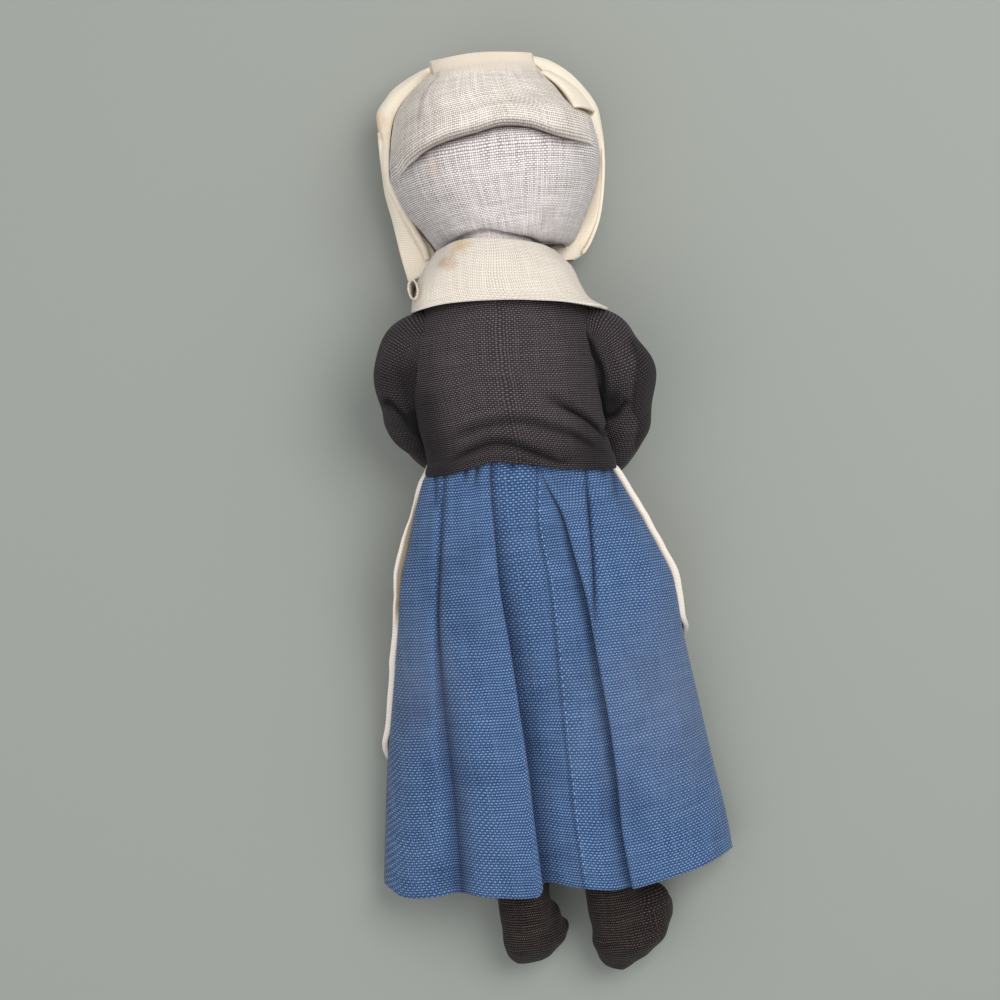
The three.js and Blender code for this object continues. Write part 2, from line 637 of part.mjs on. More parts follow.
// Legs: tapered stockings with feet, both turned to the right
for (const [name, side] of [["left", -1], ["right", 1]]) {
  const length = legLength + (side > 0 ? rightLegLonger : 0);
  const hip = new THREE.Vector3(side * hipSpacing / 2, hipY, hipZ);
  const ankle = new THREE.Vector3(hip.x + ankleLeans[name], hipY - length, hipZ - legSlope);
  const curve = new THREE.LineCurve3(hip, ankle);
  const radius = (share) => (share < 0.5
    ? mix(thighRadius, kneeRadius, share * 2)
    : mix(kneeRadius, ankleRadius, share * 2 - 1));
  const turn = THREE.MathUtils.degToRad(toeTurns[name]);
  const leg = (outset) => {
    const foot = new THREE.SphereGeometry(1, 10, 7);
    foot.scale(footHalfLength + outset, footHalfHeight + outset, footHalfWidth + outset);
    foot.rotateY(Math.PI / 2 - turn);
    foot.translate(ankle.x + footReach * Math.sin(turn), ankle.y, ankle.z - footReach * Math.cos(turn));
    return limb(curve, radius, outset, 4, 10).add(solid(foot));
  };
  const mouth = plug(fillOpening, hip, new THREE.Vector3(hip.x, hip.y + thighRadius * 2, hip.z));
  addPiece(`leg_skin_${name}`, geometryOf(leg(0).subtract(leg(-skinCloth)).subtract(mouth)), stockingWeave);
  addPiece(`leg_stuffing_${name}`, geometryOf(leg(-skinCloth - gap)), cottonFill);
}

// The middle of the doll's outline lies over the origin, and the table is z = 0.
const outline = new THREE.Box3().setFromObject(doll);
const middle = outline.getCenter(new THREE.Vector3());
doll.position.set(-middle.x, -middle.y, -outline.min.z);

export default doll;
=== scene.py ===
import bisect
from contextlib import contextmanager
from math import atan2, copysign, cos, exp, hypot, pi, radians, sin, sqrt

import bmesh
import bpy
from mathutils import Matrix, Vector, noise


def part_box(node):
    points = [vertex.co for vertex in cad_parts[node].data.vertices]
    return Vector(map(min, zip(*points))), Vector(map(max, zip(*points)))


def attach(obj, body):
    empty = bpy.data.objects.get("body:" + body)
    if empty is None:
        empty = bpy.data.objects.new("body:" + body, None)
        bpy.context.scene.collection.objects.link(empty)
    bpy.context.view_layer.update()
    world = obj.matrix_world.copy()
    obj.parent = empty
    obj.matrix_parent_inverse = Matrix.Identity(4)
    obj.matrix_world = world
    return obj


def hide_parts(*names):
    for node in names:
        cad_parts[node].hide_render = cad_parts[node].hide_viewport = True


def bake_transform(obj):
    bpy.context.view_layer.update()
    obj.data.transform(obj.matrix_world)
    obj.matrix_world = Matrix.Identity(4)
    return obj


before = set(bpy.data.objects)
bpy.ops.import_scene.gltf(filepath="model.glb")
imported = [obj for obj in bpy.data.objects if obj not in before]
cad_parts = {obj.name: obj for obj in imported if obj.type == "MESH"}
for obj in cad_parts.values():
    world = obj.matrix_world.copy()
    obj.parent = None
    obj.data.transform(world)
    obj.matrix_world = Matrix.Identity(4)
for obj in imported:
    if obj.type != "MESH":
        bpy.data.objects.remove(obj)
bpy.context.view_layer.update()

scene = bpy.context.scene
mm = 0.001
mergeReach = 2e-6

# The doll's own axes: x across from its spine, y from the bottom of its trunk, both in millimetres
trunkLow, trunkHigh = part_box("torso_skin")
spineX = (trunkLow[0] + trunkHigh[0]) / 2
trunkBottom = 4.0
originY = trunkLow[1] - trunkBottom * mm


def inFrame(x, y, z):
    return Vector((spineX + x * mm, originY + y * mm, z * mm))


def mix(a, b, share):
    return a + (b - a) * share


def smooth(low, high, at):
    share = min(1.0, max(0.0, (at - low) / (high - low)))
    return share * share * (3 - 2 * share)


def bell(at, middle, width):
    return exp(-((at - middle) / width) ** 2)


# A power that keeps the sign, to make a round squarer
def squarer(value, power):
    return copysign(abs(value) ** power, value)


def ripple(x, y, z):
    return noise.noise(Vector((x, y, z)))


def addObject(name, data):
    made = bpy.data.objects.new(name, data)
    scene.collection.objects.link(made)
    return made


# A smooth curve through pairs of key and value, level beyond its ends
def follow(pairs):
    pairs = sorted(pairs)
    keys = [key for key, value in pairs]
    values = [value for key, value in pairs]
    last = len(keys) - 1
    slopes = []
    for i in range(last + 1):
        before, after = max(0, i - 1), min(last, i + 1)
        slopes.append((values[after] - values[before]) / (keys[after] - keys[before]))

    def at(key):
        if key <= keys[0]:
            return values[0]
        if key >= keys[last]:
            return values[last]
        i = bisect.bisect_right(keys, key) - 1
        step = keys[i + 1] - keys[i]
        t = (key - keys[i]) / step
        rise = values[i + 1] - values[i]
        a = slopes[i] * step - rise
        b = rise - slopes[i + 1] * step
        return values[i] + rise * t + t * (1 - t) * (a * (1 - t) + b * t)

    return at


# Camera straight above, as the photograph was taken
camera = {
    "height": 0.78, "planeHeight": 0.035, "mmPerPixel": 0.303, "middlePixel": 500, "roll": 6.5,
    "overX": -7.8, "overY": 3.9, "sensor": 36.0}


# A point of the photograph, in pixels, carried to a height in millimetres
def seen(px, py, z=35.0):
    turn = radians(camera["roll"])
    top = camera["height"] / mm
    scale = camera["mmPerPixel"] * (top - z) / (top - camera["planeHeight"] / mm)
    dx, dy = px - camera["middlePixel"], py - camera["middlePixel"]
    x = camera["overX"] + scale * (cos(turn) * dx - sin(turn) * dy)
    y = camera["overY"] - scale * (sin(turn) * dx + cos(turn) * dy)
    return x, y


# A line of the photograph as x by y, or as y by x
def acrossAt(points, z=35.0):
    return follow([(seen(px, py, z)[1], seen(px, py, z)[0]) for px, py in points])


def alongAt(points, z=35.0):
    return follow([seen(px, py, z) for px, py in points])


# A line of the photograph as x by a share that each of its points gives
def sideAt(points, z):
    return follow([(share, seen(px, py, z)[0]) for share, px, py in points])


lens = bpy.data.cameras.new("photo_camera")
lens.sensor_width = camera["sensor"]
reach = camera["height"] - camera["planeHeight"]
width = 2 * camera["middlePixel"] * camera["mmPerPixel"] * mm
lens.lens = camera["sensor"] * reach / width
cameraObject = addObject("photo_camera", lens)
cameraObject.location = inFrame(camera["overX"], camera["overY"], camera["height"] / mm)
cameraObject.rotation_euler = (0, 0, -radians(camera["roll"]))
scene.camera = cameraObject
print("camera set")


# Cloth materials: a plain weave of threads, each with its own tone
def node(tree, kind, **inputs):
    made = tree.nodes.new(kind)
    for name, value in inputs.items():
        feed(tree, value, made.inputs[name.replace("_", " ")])
    return made


def feed(tree, value, socket):
    if isinstance(value, bpy.types.NodeSocket):
        tree.links.new(value, socket)
    else:
        socket.default_value = value


def sums(tree, operation, a, b=0.0, clamp=False):
    made = tree.nodes.new("ShaderNodeMath")
    made.operation = operation
    made.use_clamp = clamp
    feed(tree, a, made.inputs[0])
    feed(tree, b, made.inputs[1])
    return made.outputs[0]


# One function for each kind of sum
def arithmetic(tree, *kinds):
    return [lambda a, b=0.0, clamp=False, kind=kind: sums(tree, kind, a, b, clamp) for kind in kinds]


def vector(tree, x, y):
    return node(tree, "ShaderNodeCombineXYZ", X=x, Y=y).outputs[0]


def cloud(tree, place, scale, detail=2.0, roughness=0.5):
    return node(
        tree, "ShaderNodeTexNoise", Vector=place, Scale=scale, Detail=detail, Roughness=roughness).outputs[0]


# The sockets of a colour mix share their names with other kinds, so they are taken by number
def blendColour(tree, share, a, b, how="MIX"):
    made = tree.nodes.new("ShaderNodeMix")
    made.data_type = "RGBA"
    made.blend_type = how
    feed(tree, share, made.inputs[0])
    feed(tree, a, made.inputs[6])
    feed(tree, b, made.inputs[7])
    return made.outputs[2]


def linear(red, green, blue):
    part = [c / 255 for c in (red, green, blue)]
    return tuple(c / 12.92 if c <= 0.04045 else ((c + 0.055) / 1.055) ** 2.4 for c in part) + (1.0,)


# Share of a spot round a point of the doll, with a ragged edge
def spot(tree, x, y, z, radius):
    ragged = 0.5
    place = node(tree, "ShaderNodeTexCoord").outputs["Object"]
    made = tree.nodes.new("ShaderNodeVectorMath")
    made.operation = "DISTANCE"
    feed(tree, place, made.inputs[0])
    made.inputs[1].default_value = inFrame(x, y, z)
    plus, minus, times, parts = arithmetic(tree, "ADD", "SUBTRACT", "MULTIPLY", "DIVIDE")
    wander = times(cloud(tree, place, cloudScale["stain"], 3.0), radius * mm * ragged * 2)
    away = plus(made.outputs["Value"], wander)
    return minus(1.0, parts(away, radius * mm * (1 + ragged)), clamp=True)


# A stain round a point of the doll, with its radius in millimetres
def stain(at, radius, colour, strength, blend="MULTIPLY"):
    return {"at": at, "radius": radius, "colour": colour, "strength": strength, "blend": blend}


# What a cloth has unless its own look says otherwise: pitch of its threads in millimetres, weft pitch to
# warp pitch, how much darker the warp is, and how strong slubs, mottling, relief and sheen are
plainCloth = {
    "pitch": 0.45, "open": 1.0, "dim": 0.2, "slub": 0.3, "mottle": 0.4, "bump": 0.25, "sheen": 0.12,
    "stains": ()}
clothFinish = {"Roughness": 0.92, "Specular IOR Level": 0.18, "Sheen Roughness": 0.5}
# How fine each kind of unevenness is, from the drift of the threads to the fluff of a sewing thread
cloudScale = {"drift": 140.0, "mottle": 45.0, "patch": 62.0, "nap": 220.0, "stain": 260.0, "fluff": 900.0}


def newMaterial(name):
    made = bpy.data.materials.new(name)
    made.use_nodes = True
    return made, made.node_tree, made.node_tree.nodes["Principled BSDF"]


def weave(name, own):
    look = {**plainCloth, **own}
    made, tree, shader = newMaterial(name)
    plus, minus, times, parts = arithmetic(tree, "ADD", "SUBTRACT", "MULTIPLY", "DIVIDE")
    sine, size, whole = arithmetic(tree, "SINE", "ABSOLUTE", "FLOOR")
    place = node(tree, "ShaderNodeTexCoord").outputs["Object"]
    uv = tree.nodes.new("ShaderNodeUVMap")
    uv.uv_map = "cloth"
    split = node(tree, "ShaderNodeSeparateXYZ", Vector=uv.outputs[0])
    pitch = look["pitch"] * mm
    drift = times(minus(cloud(tree, uv.outputs[0], cloudScale["drift"]), 0.5), 1.2)
    a = plus(parts(split.outputs["X"], pitch), drift)
    b = plus(parts(split.outputs["Y"], pitch * look["open"]), drift)
    waveA, waveB = sine(times(a, pi)), sine(times(b, pi))
    over = times(times(waveA, waveB), 0.45)
    warp = times(size(waveA), plus(over, 0.55))
    weft = times(size(waveB), minus(0.55, over))
    height = sums(tree, "MAXIMUM", warp, weft)
    isWarp = sums(tree, "GREATER_THAN", warp, weft)
    # Slubs: each thread is lighter, darker or thicker for some way along it
    warpTone = cloud(tree, vector(tree, times(whole(a), 7.31), times(b, 0.05)), 1.0)
    weftTone = cloud(tree, vector(tree, times(a, 0.05), times(whole(b), 5.17)), 1.0)
    tone = plus(times(isWarp, warpTone), times(minus(1.0, isWarp), weftTone))
    shown = times(height, minus(1.0, times(isWarp, look["dim"])))
    lift = plus(shown, times(minus(tone, 0.5), look["slub"]), clamp=True)
    # Colour by thread height: painted shade in the gaps between the threads, lightest on their crowns
    ramp = tree.nodes.new("ShaderNodeValToRGB")
    steps = ramp.color_ramp.elements
    steps[0].position, steps[0].color = 0.18, linear(*look["gap"])
    steps[1].position, steps[1].color = 0.95, linear(*look["light"])
    steps.new(0.5).color = linear(*look["colour"])
    feed(tree, lift, ramp.inputs[0])
    fade = times(minus(cloud(tree, place, cloudScale["mottle"], 4.0, 0.6), 0.42), look["mottle"], clamp=True)
    colour = blendColour(tree, fade, ramp.outputs[0], linear(*look["worn"]))
    if "patches" in look:
        patch = times(minus(cloud(tree, place, cloudScale["patch"]), 0.5), look["patches"], clamp=True)
        colour = blendColour(tree, patch, colour, linear(150, 160, 180), "MULTIPLY")
    if "top" in look:
        top = look["top"]
        along = node(tree, "ShaderNodeSeparateXYZ", Vector=place).outputs["Y"]
        high = minus(along, inFrame(0, top["start"], 0).y)
        share = times(parts(high, (top["end"] - top["start"]) * mm, clamp=True), top["strength"])
        colour = blendColour(tree, share, colour, linear(*top["colour"]))
    # Painted shade kept on the mesh's points, darkening the colour towards the material's shade colour
    if "shade" in look:
        shade = tree.nodes.new("ShaderNodeAttribute")
        shade.attribute_name = "shade"
        colour = blendColour(tree, shade.outputs["Fac"], colour, linear(*look["shade"]), "MULTIPLY")
    for mark in look["stains"]:
        share = times(spot(tree, *mark["at"], mark["radius"]), mark["strength"])
        colour = blendColour(tree, share, colour, linear(*mark["colour"]), mark["blend"])
    feed(tree, colour, shader.inputs["Base Color"])
    rough = plus(height, times(cloud(tree, place, cloudScale["nap"], 3.0), 0.3))
    bump = node(tree, "ShaderNodeBump", Height=rough, Strength=look["bump"], Distance=pitch * 0.35)
    feed(tree, bump.outputs[0], shader.inputs["Normal"])
    for socket, value in {**clothFinish, "Sheen Weight": look["sheen"]}.items():
        shader.inputs[socket].default_value = value
    return made


# Thread, a little uneven
def plain(name, colour):
    made, tree, shader = newMaterial(name)
    place = node(tree, "ShaderNodeTexCoord").outputs["Object"]
    shade = sums(tree, "MULTIPLY", cloud(tree, place, cloudScale["fluff"]), 0.35)
    darker = tuple(c * 0.6 for c in linear(*colour)[:3]) + (1.0,)
    feed(tree, blendColour(tree, shade, linear(*colour), darker), shader.inputs["Base Color"])
    shader.inputs["Roughness"].default_value = 0.85
    return made


skirtWeave = weave("skirt_weave", {
    "pitch": 0.54, "open": 1.5, "dim": 0.42, "colour": (69, 99, 139), "light": (131, 158, 193),
    "gap": (29, 50, 86), "worn": (80, 96, 124), "slub": 0.5, "mottle": 0.45, "bump": 0.6,
    "shade": (88, 104, 130), "patches": 1.6,
    "stains": [
        stain((38, -62, 30), 40, (116, 124, 146), 0.45, "MIX"),
        stain((-38, -48, 24), 26, (110, 112, 132), 0.4, "MIX")]})
bonnetCloth = {"pitch": 0.56, "open": 1.03, "dim": 0.3, "slub": 0.85, "mottle": 0.5, "bump": 0.45}
crownLinen = weave("crown_linen", {
    **bonnetCloth, "colour": (210, 201, 198), "light": (246, 241, 238), "gap": (116, 106, 104),
    "worn": (198, 187, 180), "shade": (104, 86, 84),
    "stains": [stain((-16, 104, 50), 5, (226, 200, 160), 0.7)]})
bandLinen = weave("band_linen", {
    **bonnetCloth, "colour": (222, 211, 200), "light": (250, 243, 234), "gap": (144, 132, 123),
    "worn": (217, 205, 194), "shade": (112, 96, 90),
    "top": {"start": 129.5, "end": 135.5, "colour": (239, 223, 201), "strength": 0.9},
    "stains": [
        stain((-29, 121, 24), 11, (230, 217, 198), 1.3, "MIX"),
        stain((-22, 127, 32), 10, (230, 217, 198), 0.8, "MIX")]})
capLinen = weave("cap_linen", {
    "pitch": 0.5, "colour": (245, 231, 209), "light": (252, 245, 232), "gap": (214, 197, 171),
    "worn": (243, 224, 197), "slub": 0.35, "mottle": 0.5, "bump": 0.3,
    "stains": [
        stain((-30, 122, 16), 8, (226, 172, 118), 1.1), stain((-28, 74, 12), 5, (226, 196, 140), 0.5)]})
kerchiefLinen = weave("kerchief_linen", {
    "pitch": 0.58, "open": 1.1, "dim": 0.25, "colour": (216, 206, 193), "light": (240, 234, 224),
    "gap": (166, 152, 134), "worn": (220, 205, 184), "slub": 0.45, "bump": 0.36,
    "stains": [
        stain((-10.5, 80, 46), 4.6, (226, 192, 118), 1.1),
        stain((-14.5, 75.0, 47), 4.4, (206, 142, 74), 1.15)]})
apronLinen = weave("apron_linen", {
    "colour": (236, 226, 214), "light": (250, 244, 236), "gap": (204, 190, 174), "worn": (236, 222, 208),
    "slub": 0.35, "mottle": 0.35, "shade": (158, 148, 134)})
jacketWeave = weave("jacket_weave", {
    "pitch": 0.6, "open": 1.08, "dim": 0.3, "colour": (60, 52, 54), "light": (113, 103, 105),
    "gap": (14, 11, 13), "worn": (64, 55, 57), "slub": 0.45, "mottle": 0.55, "bump": 0.55, "sheen": 0.05,
    "shade": (64, 60, 64)})
stockingWeave = weave("stocking_weave", {
    "pitch": 0.44, "open": 1.85, "dim": 0.3, "colour": (23, 17, 18), "light": (90, 78, 72), "gap": (6, 4, 4),
    "worn": (38, 30, 27), "slub": 0.7, "mottle": 0.6, "bump": 0.5, "sheen": 0.05,
    "stains": [
        stain((-16.5, -136, 10), 6, (104, 84, 66), 0.5, "MIX"),
        stain((13, -140, 10), 6, (92, 74, 58), 0.4, "MIX"),
        stain((27, -131, 10), 6, (78, 58, 46), 0.4, "MIX")]})
bodyMuslin = weave("body_muslin", {
    "colour": (226, 200, 172), "light": (240, 220, 196), "gap": (186, 156, 128), "worn": (220, 186, 156),
    "bump": 0.22})
bandTape = weave("binding_tape", {
    "colour": (216, 208, 194), "light": (234, 228, 216), "gap": (170, 160, 146), "worn": (206, 196, 180),
    "mottle": 0.3})
darkThread = plain("dark_thread", (58, 40, 34))
redThread = plain("red_thread", (164, 66, 58))
blueThread = plain("blue_thread", (146, 174, 208))
print("materials made")


def objectFrom(name, bm, material):
    bmesh.ops.recalc_face_normals(bm, faces=bm.faces[:])
    mesh = bpy.data.meshes.new(name)
    bm.to_mesh(mesh)
    bm.free()
    mesh.materials.append(material)
    for polygon in mesh.polygons:
        polygon.use_smooth = True
    return addObject(name, mesh)


# Threads that run straight along a sheet of this size in metres
def laid(width, length):
    return lambda p, q: (p * width, q * length)


# A grid laid by place(p, q), with its threads in metres from flat(p, q), as the shares of each of its points
def layGrid(bm, columns, rows, place, flat):
    threads = bm.loops.layers.uv.get("cloth") or bm.loops.layers.uv.new("cloth")
    made = bmesh.ops.create_grid(bm, x_segments=columns, y_segments=rows, size=0.5)
    shares = {vert: (vert.co.x + 0.5, vert.co.y + 0.5) for vert in made["verts"]}
    for face in {face for vert in shares for face in vert.link_faces}:
        for loop in face.loops:
            loop[threads].uv = flat(*shares[loop.vert])
    for vert, share in shares.items():
        vert.co = inFrame(*place(*share))
    return shares


# A sheet of cloth, closed to a tube where it wraps, with painted shade from shade(p, q) kept on its points
def clothGrid(name, columns, rows, place, flat, material, wrap=False, shade=None):
    bm = bmesh.new()
    depth = bm.verts.layers.float.new("shade")
    shares = layGrid(bm, columns, rows, place, flat)
    if shade:
        for vert, share in shares.items():
            vert[depth] = shade(*share)
    if wrap:
        seam = [vert for vert, (p, q) in shares.items() if min(p, 1 - p) < 1e-4]
        bmesh.ops.remove_doubles(bm, verts=seam, dist=mergeReach)
    return objectFrom(name, bm, material)


def thicken(made, thickness, offset=-1.0):
    shell = made.modifiers.new("thickness", "SOLIDIFY")
    shell.thickness = thickness * mm
    shell.offset = offset


def soften(made):
    swell = made.modifiers.new("soft", "SUBSURF")
    swell.levels = swell.render_levels = 1


# A tube through points with a radius at each, and its own wrinkles
def sweep(points, radii, wrinkle=lambda turn, share: 0.0, flatten=1.0):
    count = len(points) - 1
    along = [follow([(i / count, point[axis]) for i, point in enumerate(points)]) for axis in range(3)]
    radius = follow([(i / count, r) for i, r in enumerate(radii)])

    def place(p, q):
        middle = Vector([line(q) for line in along])
        ahead = Vector([line(min(1, q + 0.01)) - line(max(0, q - 0.01)) for line in along]).normalized()
        side = ahead.cross(Vector((0, 0, 1))).normalized()
        up = side.cross(ahead)
        turn = 2 * pi * p
        r = radius(q) + wrinkle(turn, q)
        return middle + side * r * cos(turn) + up * r * flatten * sin(turn)

    return place


# A piece rides one body when one is given, and the parts that it stands for are hidden
def dress(made, body, slot, *nodes):
    if body:
        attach(made, body)
    if nodes:
        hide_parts(*nodes)


# The mesh of a piece, opened for changes
@contextmanager
def opened(made):
    bm = bmesh.new()
    bm.from_mesh(made.data)
    yield bm
    bm.to_mesh(made.data)
    bm.free()


# Closed ends for a tube
def closeEnds(made):
    with opened(made) as bm:
        bmesh.ops.holes_fill(bm, edges=[edge for edge in bm.edges if edge.is_boundary], sides=0)
        bmesh.ops.recalc_face_normals(bm, faces=bm.faces[:])


# Threads round a stuffed limb, measured about its own line, and straight over its ends
def wrapThreads(made, start, end):
    limbRadius = 0.009
    a, b = inFrame(*start), inFrame(*end)
    ahead = (b - a).normalized()
    side = ahead.cross(Vector((0, 0, 1))).normalized()
    up = side.cross(ahead)

    def turnAt(point):
        away = point - a
        return atan2(away.dot(side), away.dot(up))

    with opened(made) as bm:
        threads = bm.loops.layers.uv.get("cloth") or bm.loops.layers.uv.new("cloth")
        for face in bm.faces:
            middle = turnAt(face.calc_center_median())
            atEnd = abs(face.normal.dot(ahead)) > 0.8
            for loop in face.loops:
                away = loop.vert.co - a
                turn = (turnAt(loop.vert.co) - middle + pi) % (2 * pi) - pi + middle
                straight = (away.dot(side), away.dot(up))
                loop[threads].uv = straight if atEnd else (turn * limbRadius, away.dot(ahead))


# Stuffing: the bag is remeshed and smoothed, then blown up a little
def stuff(made, voxel, swell, most):
    frames = 16
    bpy.context.view_layer.objects.active = made
    made.data.remesh_voxel_size = voxel * mm
    made.data.use_remesh_fix_poles = True
    bpy.ops.object.voxel_remesh()
    with opened(made) as bm:
        for turn in range(6):
            bmesh.ops.smooth_vert(
                bm, verts=bm.verts[:], factor=0.5, use_axis_x=True, use_axis_y=True, use_axis_z=True)
    start = [vert.co.copy() for vert in made.data.vertices]
    cloth = made.modifiers.new("stuffing", "CLOTH")
    cloth.settings.use_pressure = True
    cloth.settings.uniform_pressure_force = swell
    cloth.settings.quality = 4
    cloth.settings.effector_weights.gravity = 0.0
    cloth.point_cache.frame_start = 1
    cloth.point_cache.frame_end = frames
    for count in range(frames):
        scene.frame_set(count + 1)
    shape = made.evaluated_get(bpy.context.evaluated_depsgraph_get())
    moved = [vert.co.copy() for vert in shape.data.vertices]
    made.modifiers.remove(cloth)
    for vert, before, after in zip(made.data.vertices, start, moved):
        step = after - before
        if step.length > most * mm:
            step *= most * mm / step.length
        vert.co = before + step
    scene.frame_set(1)
    for polygon in made.data.polygons:
        polygon.use_smooth = True


# Lines of thread, each a thin round tube, as one piece
def strands(name, lines, thickness, material, body, slot):
    tip = thickness * 0.15
    bm = bmesh.new()
    for line in lines:
        place = sweep(line, [tip] + [thickness / 2] * (len(line) - 2) + [tip])
        shares = layGrid(bm, 8, len(line) * 3, place, laid(thickness * 3 * mm, 0.004 * len(line)))
        bmesh.ops.remove_doubles(bm, verts=list(shares), dist=mergeReach)
    bmesh.ops.holes_fill(bm, edges=[edge for edge in bm.edges if edge.is_boundary], sides=0)
    made = objectFrom(name, bm, material)
    dress(made, body, slot)
    return made


# What hangs from the waist has its place baked into its mesh
def bendAtHip(made):
    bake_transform(made)


# Skirt: a wide sheet gathered at the waist, with a deep inverted pleat down the back
skirt = {
    "top": 17.0, "bottom": -114.0, "backShare": 0.68, "backArc": 0.146, "frontArc": 0.112, "length": 0.131,
    "waistZ": 33.0, "hemMiddle": 8.0, "waistBack": 49.8, "hemBack": 33.5, "floor": 2.6, "waistFront": 17.0}
skirtLeft = acrossAt([
    (437, 455), (432, 470), (425, 483), (415, 525), (410, 550), (404, 576), (399, 636), (393, 705),
    (388, 768), (385, 891)], 16)
skirtRight = acrossAt([
    (594, 448), (602, 462), (610, 471), (634, 510), (658, 552), (670, 576), (682, 633), (700, 705),
    (715, 768), (727, 816), (734, 852), (739, 880)], 16)
skirtHem = alongAt([
    (385, 892), (403, 900), (430, 898), (457, 892), (490, 894), (532, 893), (539, 891), (544, 881),
    (580, 885), (610, 888), (631, 885), (670, 876), (700, 868), (733, 855)], 26)
foldOne = acrossAt([(448, 460), (445, 489), (441, 560), (439, 630), (445, 720), (454, 810), (460, 892)])
foldTwo = acrossAt([
    (489, 460), (488, 483), (494, 549), (499, 594), (508, 645), (517, 705), (526, 765), (533, 825),
    (541, 885)])
backSeam = acrossAt([
    (537, 460), (538, 480), (539, 525), (550, 579), (557, 636), (563, 699), (569, 756), (577, 825),
    (586, 885)])
foldThree = acrossAt([
    (540, 462), (544, 477), (562, 510), (574, 552), (586, 594), (593, 630), (601, 672), (610, 720),
    (617, 768), (623, 825), (634, 882)])
foldFour = acrossAt([(583, 460), (584, 474), (588, 520), (592, 570), (593, 630)])
skirtCache = {}
# Share of the back's cloth by share of its columns, which are closest in the folds
foldShare = follow([
    (0, 0), (0.14, 0.16), (0.24, 0.22), (0.40, 0.38), (0.50, 0.44), (0.62, 0.60), (0.72, 0.66), (1, 1)])
# Short gathers at the waist, each as its line and the place along the doll where it has died out
waistTucks = [
    (acrossAt([(438, 468), (436, 520)]), 2.5), (acrossAt([(467, 468), (463, 500)]), 8.5),
    (acrossAt([(478, 468), (474, 500)]), 7.5), (acrossAt([(601, 468), (604, 500)]), 5.0),
    (acrossAt([(611, 468), (616, 510)]), -1.0), (acrossAt([(512, 465), (510, 490)]), 9.5)]


def tuckAt(x, y):
    return sum(bell(x, line(y), 0.9) * smooth(until, until + 5, y) for line, until in waistTucks)


# One row of the skirt's back, from side to side, as sideways place and rise by share of the cloth
def skirtRow(q):
    key = round(q, 5)
    if key in skirtCache:
        return skirtCache[key]
    y = mix(skirt["top"], skirt["bottom"], q)
    left, right = skirtLeft(y), skirtRight(y)
    one, two, seam, three = foldOne(y), foldTwo(y), backSeam(y), foldThree(y)
    three = max(three, seam + mix(1.5, 5.0, smooth(0.02, 0.2, q)))
    deep = 0.45 + 0.85 * smooth(0.02, 0.4, q)
    lap = mix(-0.6, 1.3, smooth(0.05, 0.45, q))
    half = mix(1.5, 4.4, smooth(0.3, 0.8, q))
    stations = [
        (0.00, left, 0.0), (0.09, mix(left, one, 0.5), 0.9), (0.19 - half / 88, one - half, 0.7),
        (0.19, one, -1.8 * deep), (0.19 + half / 88, one + half, 0.3),
        (0.30, mix(one, two, 0.58), 1.7 * deep), (0.375, two - 1.6, 1.9 * deep),
        (0.40, two + 0.2, 1.1 * deep), (0.415, two - lap, -1.4 * deep), (0.435, two + 1.0, -3.5 * deep),
        (0.485, mix(two, seam, 0.6), -2.3 * deep), (0.53, seam, -1.6 * deep),
        (0.575, mix(seam, three, 0.6), -1.9 * deep), (0.61, three - 0.9, -2.9 * deep),
        (0.63, three + lap, -1.4 * deep), (0.645, three - 0.1, 0.9 * deep), (0.67, three + 1.7, 1.5 * deep),
        (0.77, mix(three, right, 0.4), 1.3), (0.89, mix(three, right, 0.78), 0.7), (1.00, right, 0.0)]
    across = follow([(c, x) for c, x, rise in stations])
    skirtCache[key] = y, left, right, across, follow([(c, rise) for c, x, rise in stations])
    return skirtCache[key]


def skirtLevels(q):
    settle = smooth(0.06, 0.78, q)
    middle = mix(skirt["waistZ"], skirt["hemMiddle"], settle)
    landing = (1 - min(1.0, max(0.0, q - 0.06) / 0.44)) ** 2
    return settle, middle, mix(skirt["floor"], skirt["waistFront"], landing)


# The front of the skirt at a turn from the right side, under the doll, to the left side
def skirtUnder(q, turn, outset=0.0):
    y, left, right = skirtRow(q)[:3]
    settle, middle, front = skirtLevels(q)
    x = (left + right) / 2 + ((right - left) / 2 + outset) * cos(turn)
    share = min(1.0, -sin(turn) / mix(1.0, 0.66, settle)) ** mix(1.0, 0.45, settle)
    return x, y, middle - (middle - front + outset) * share


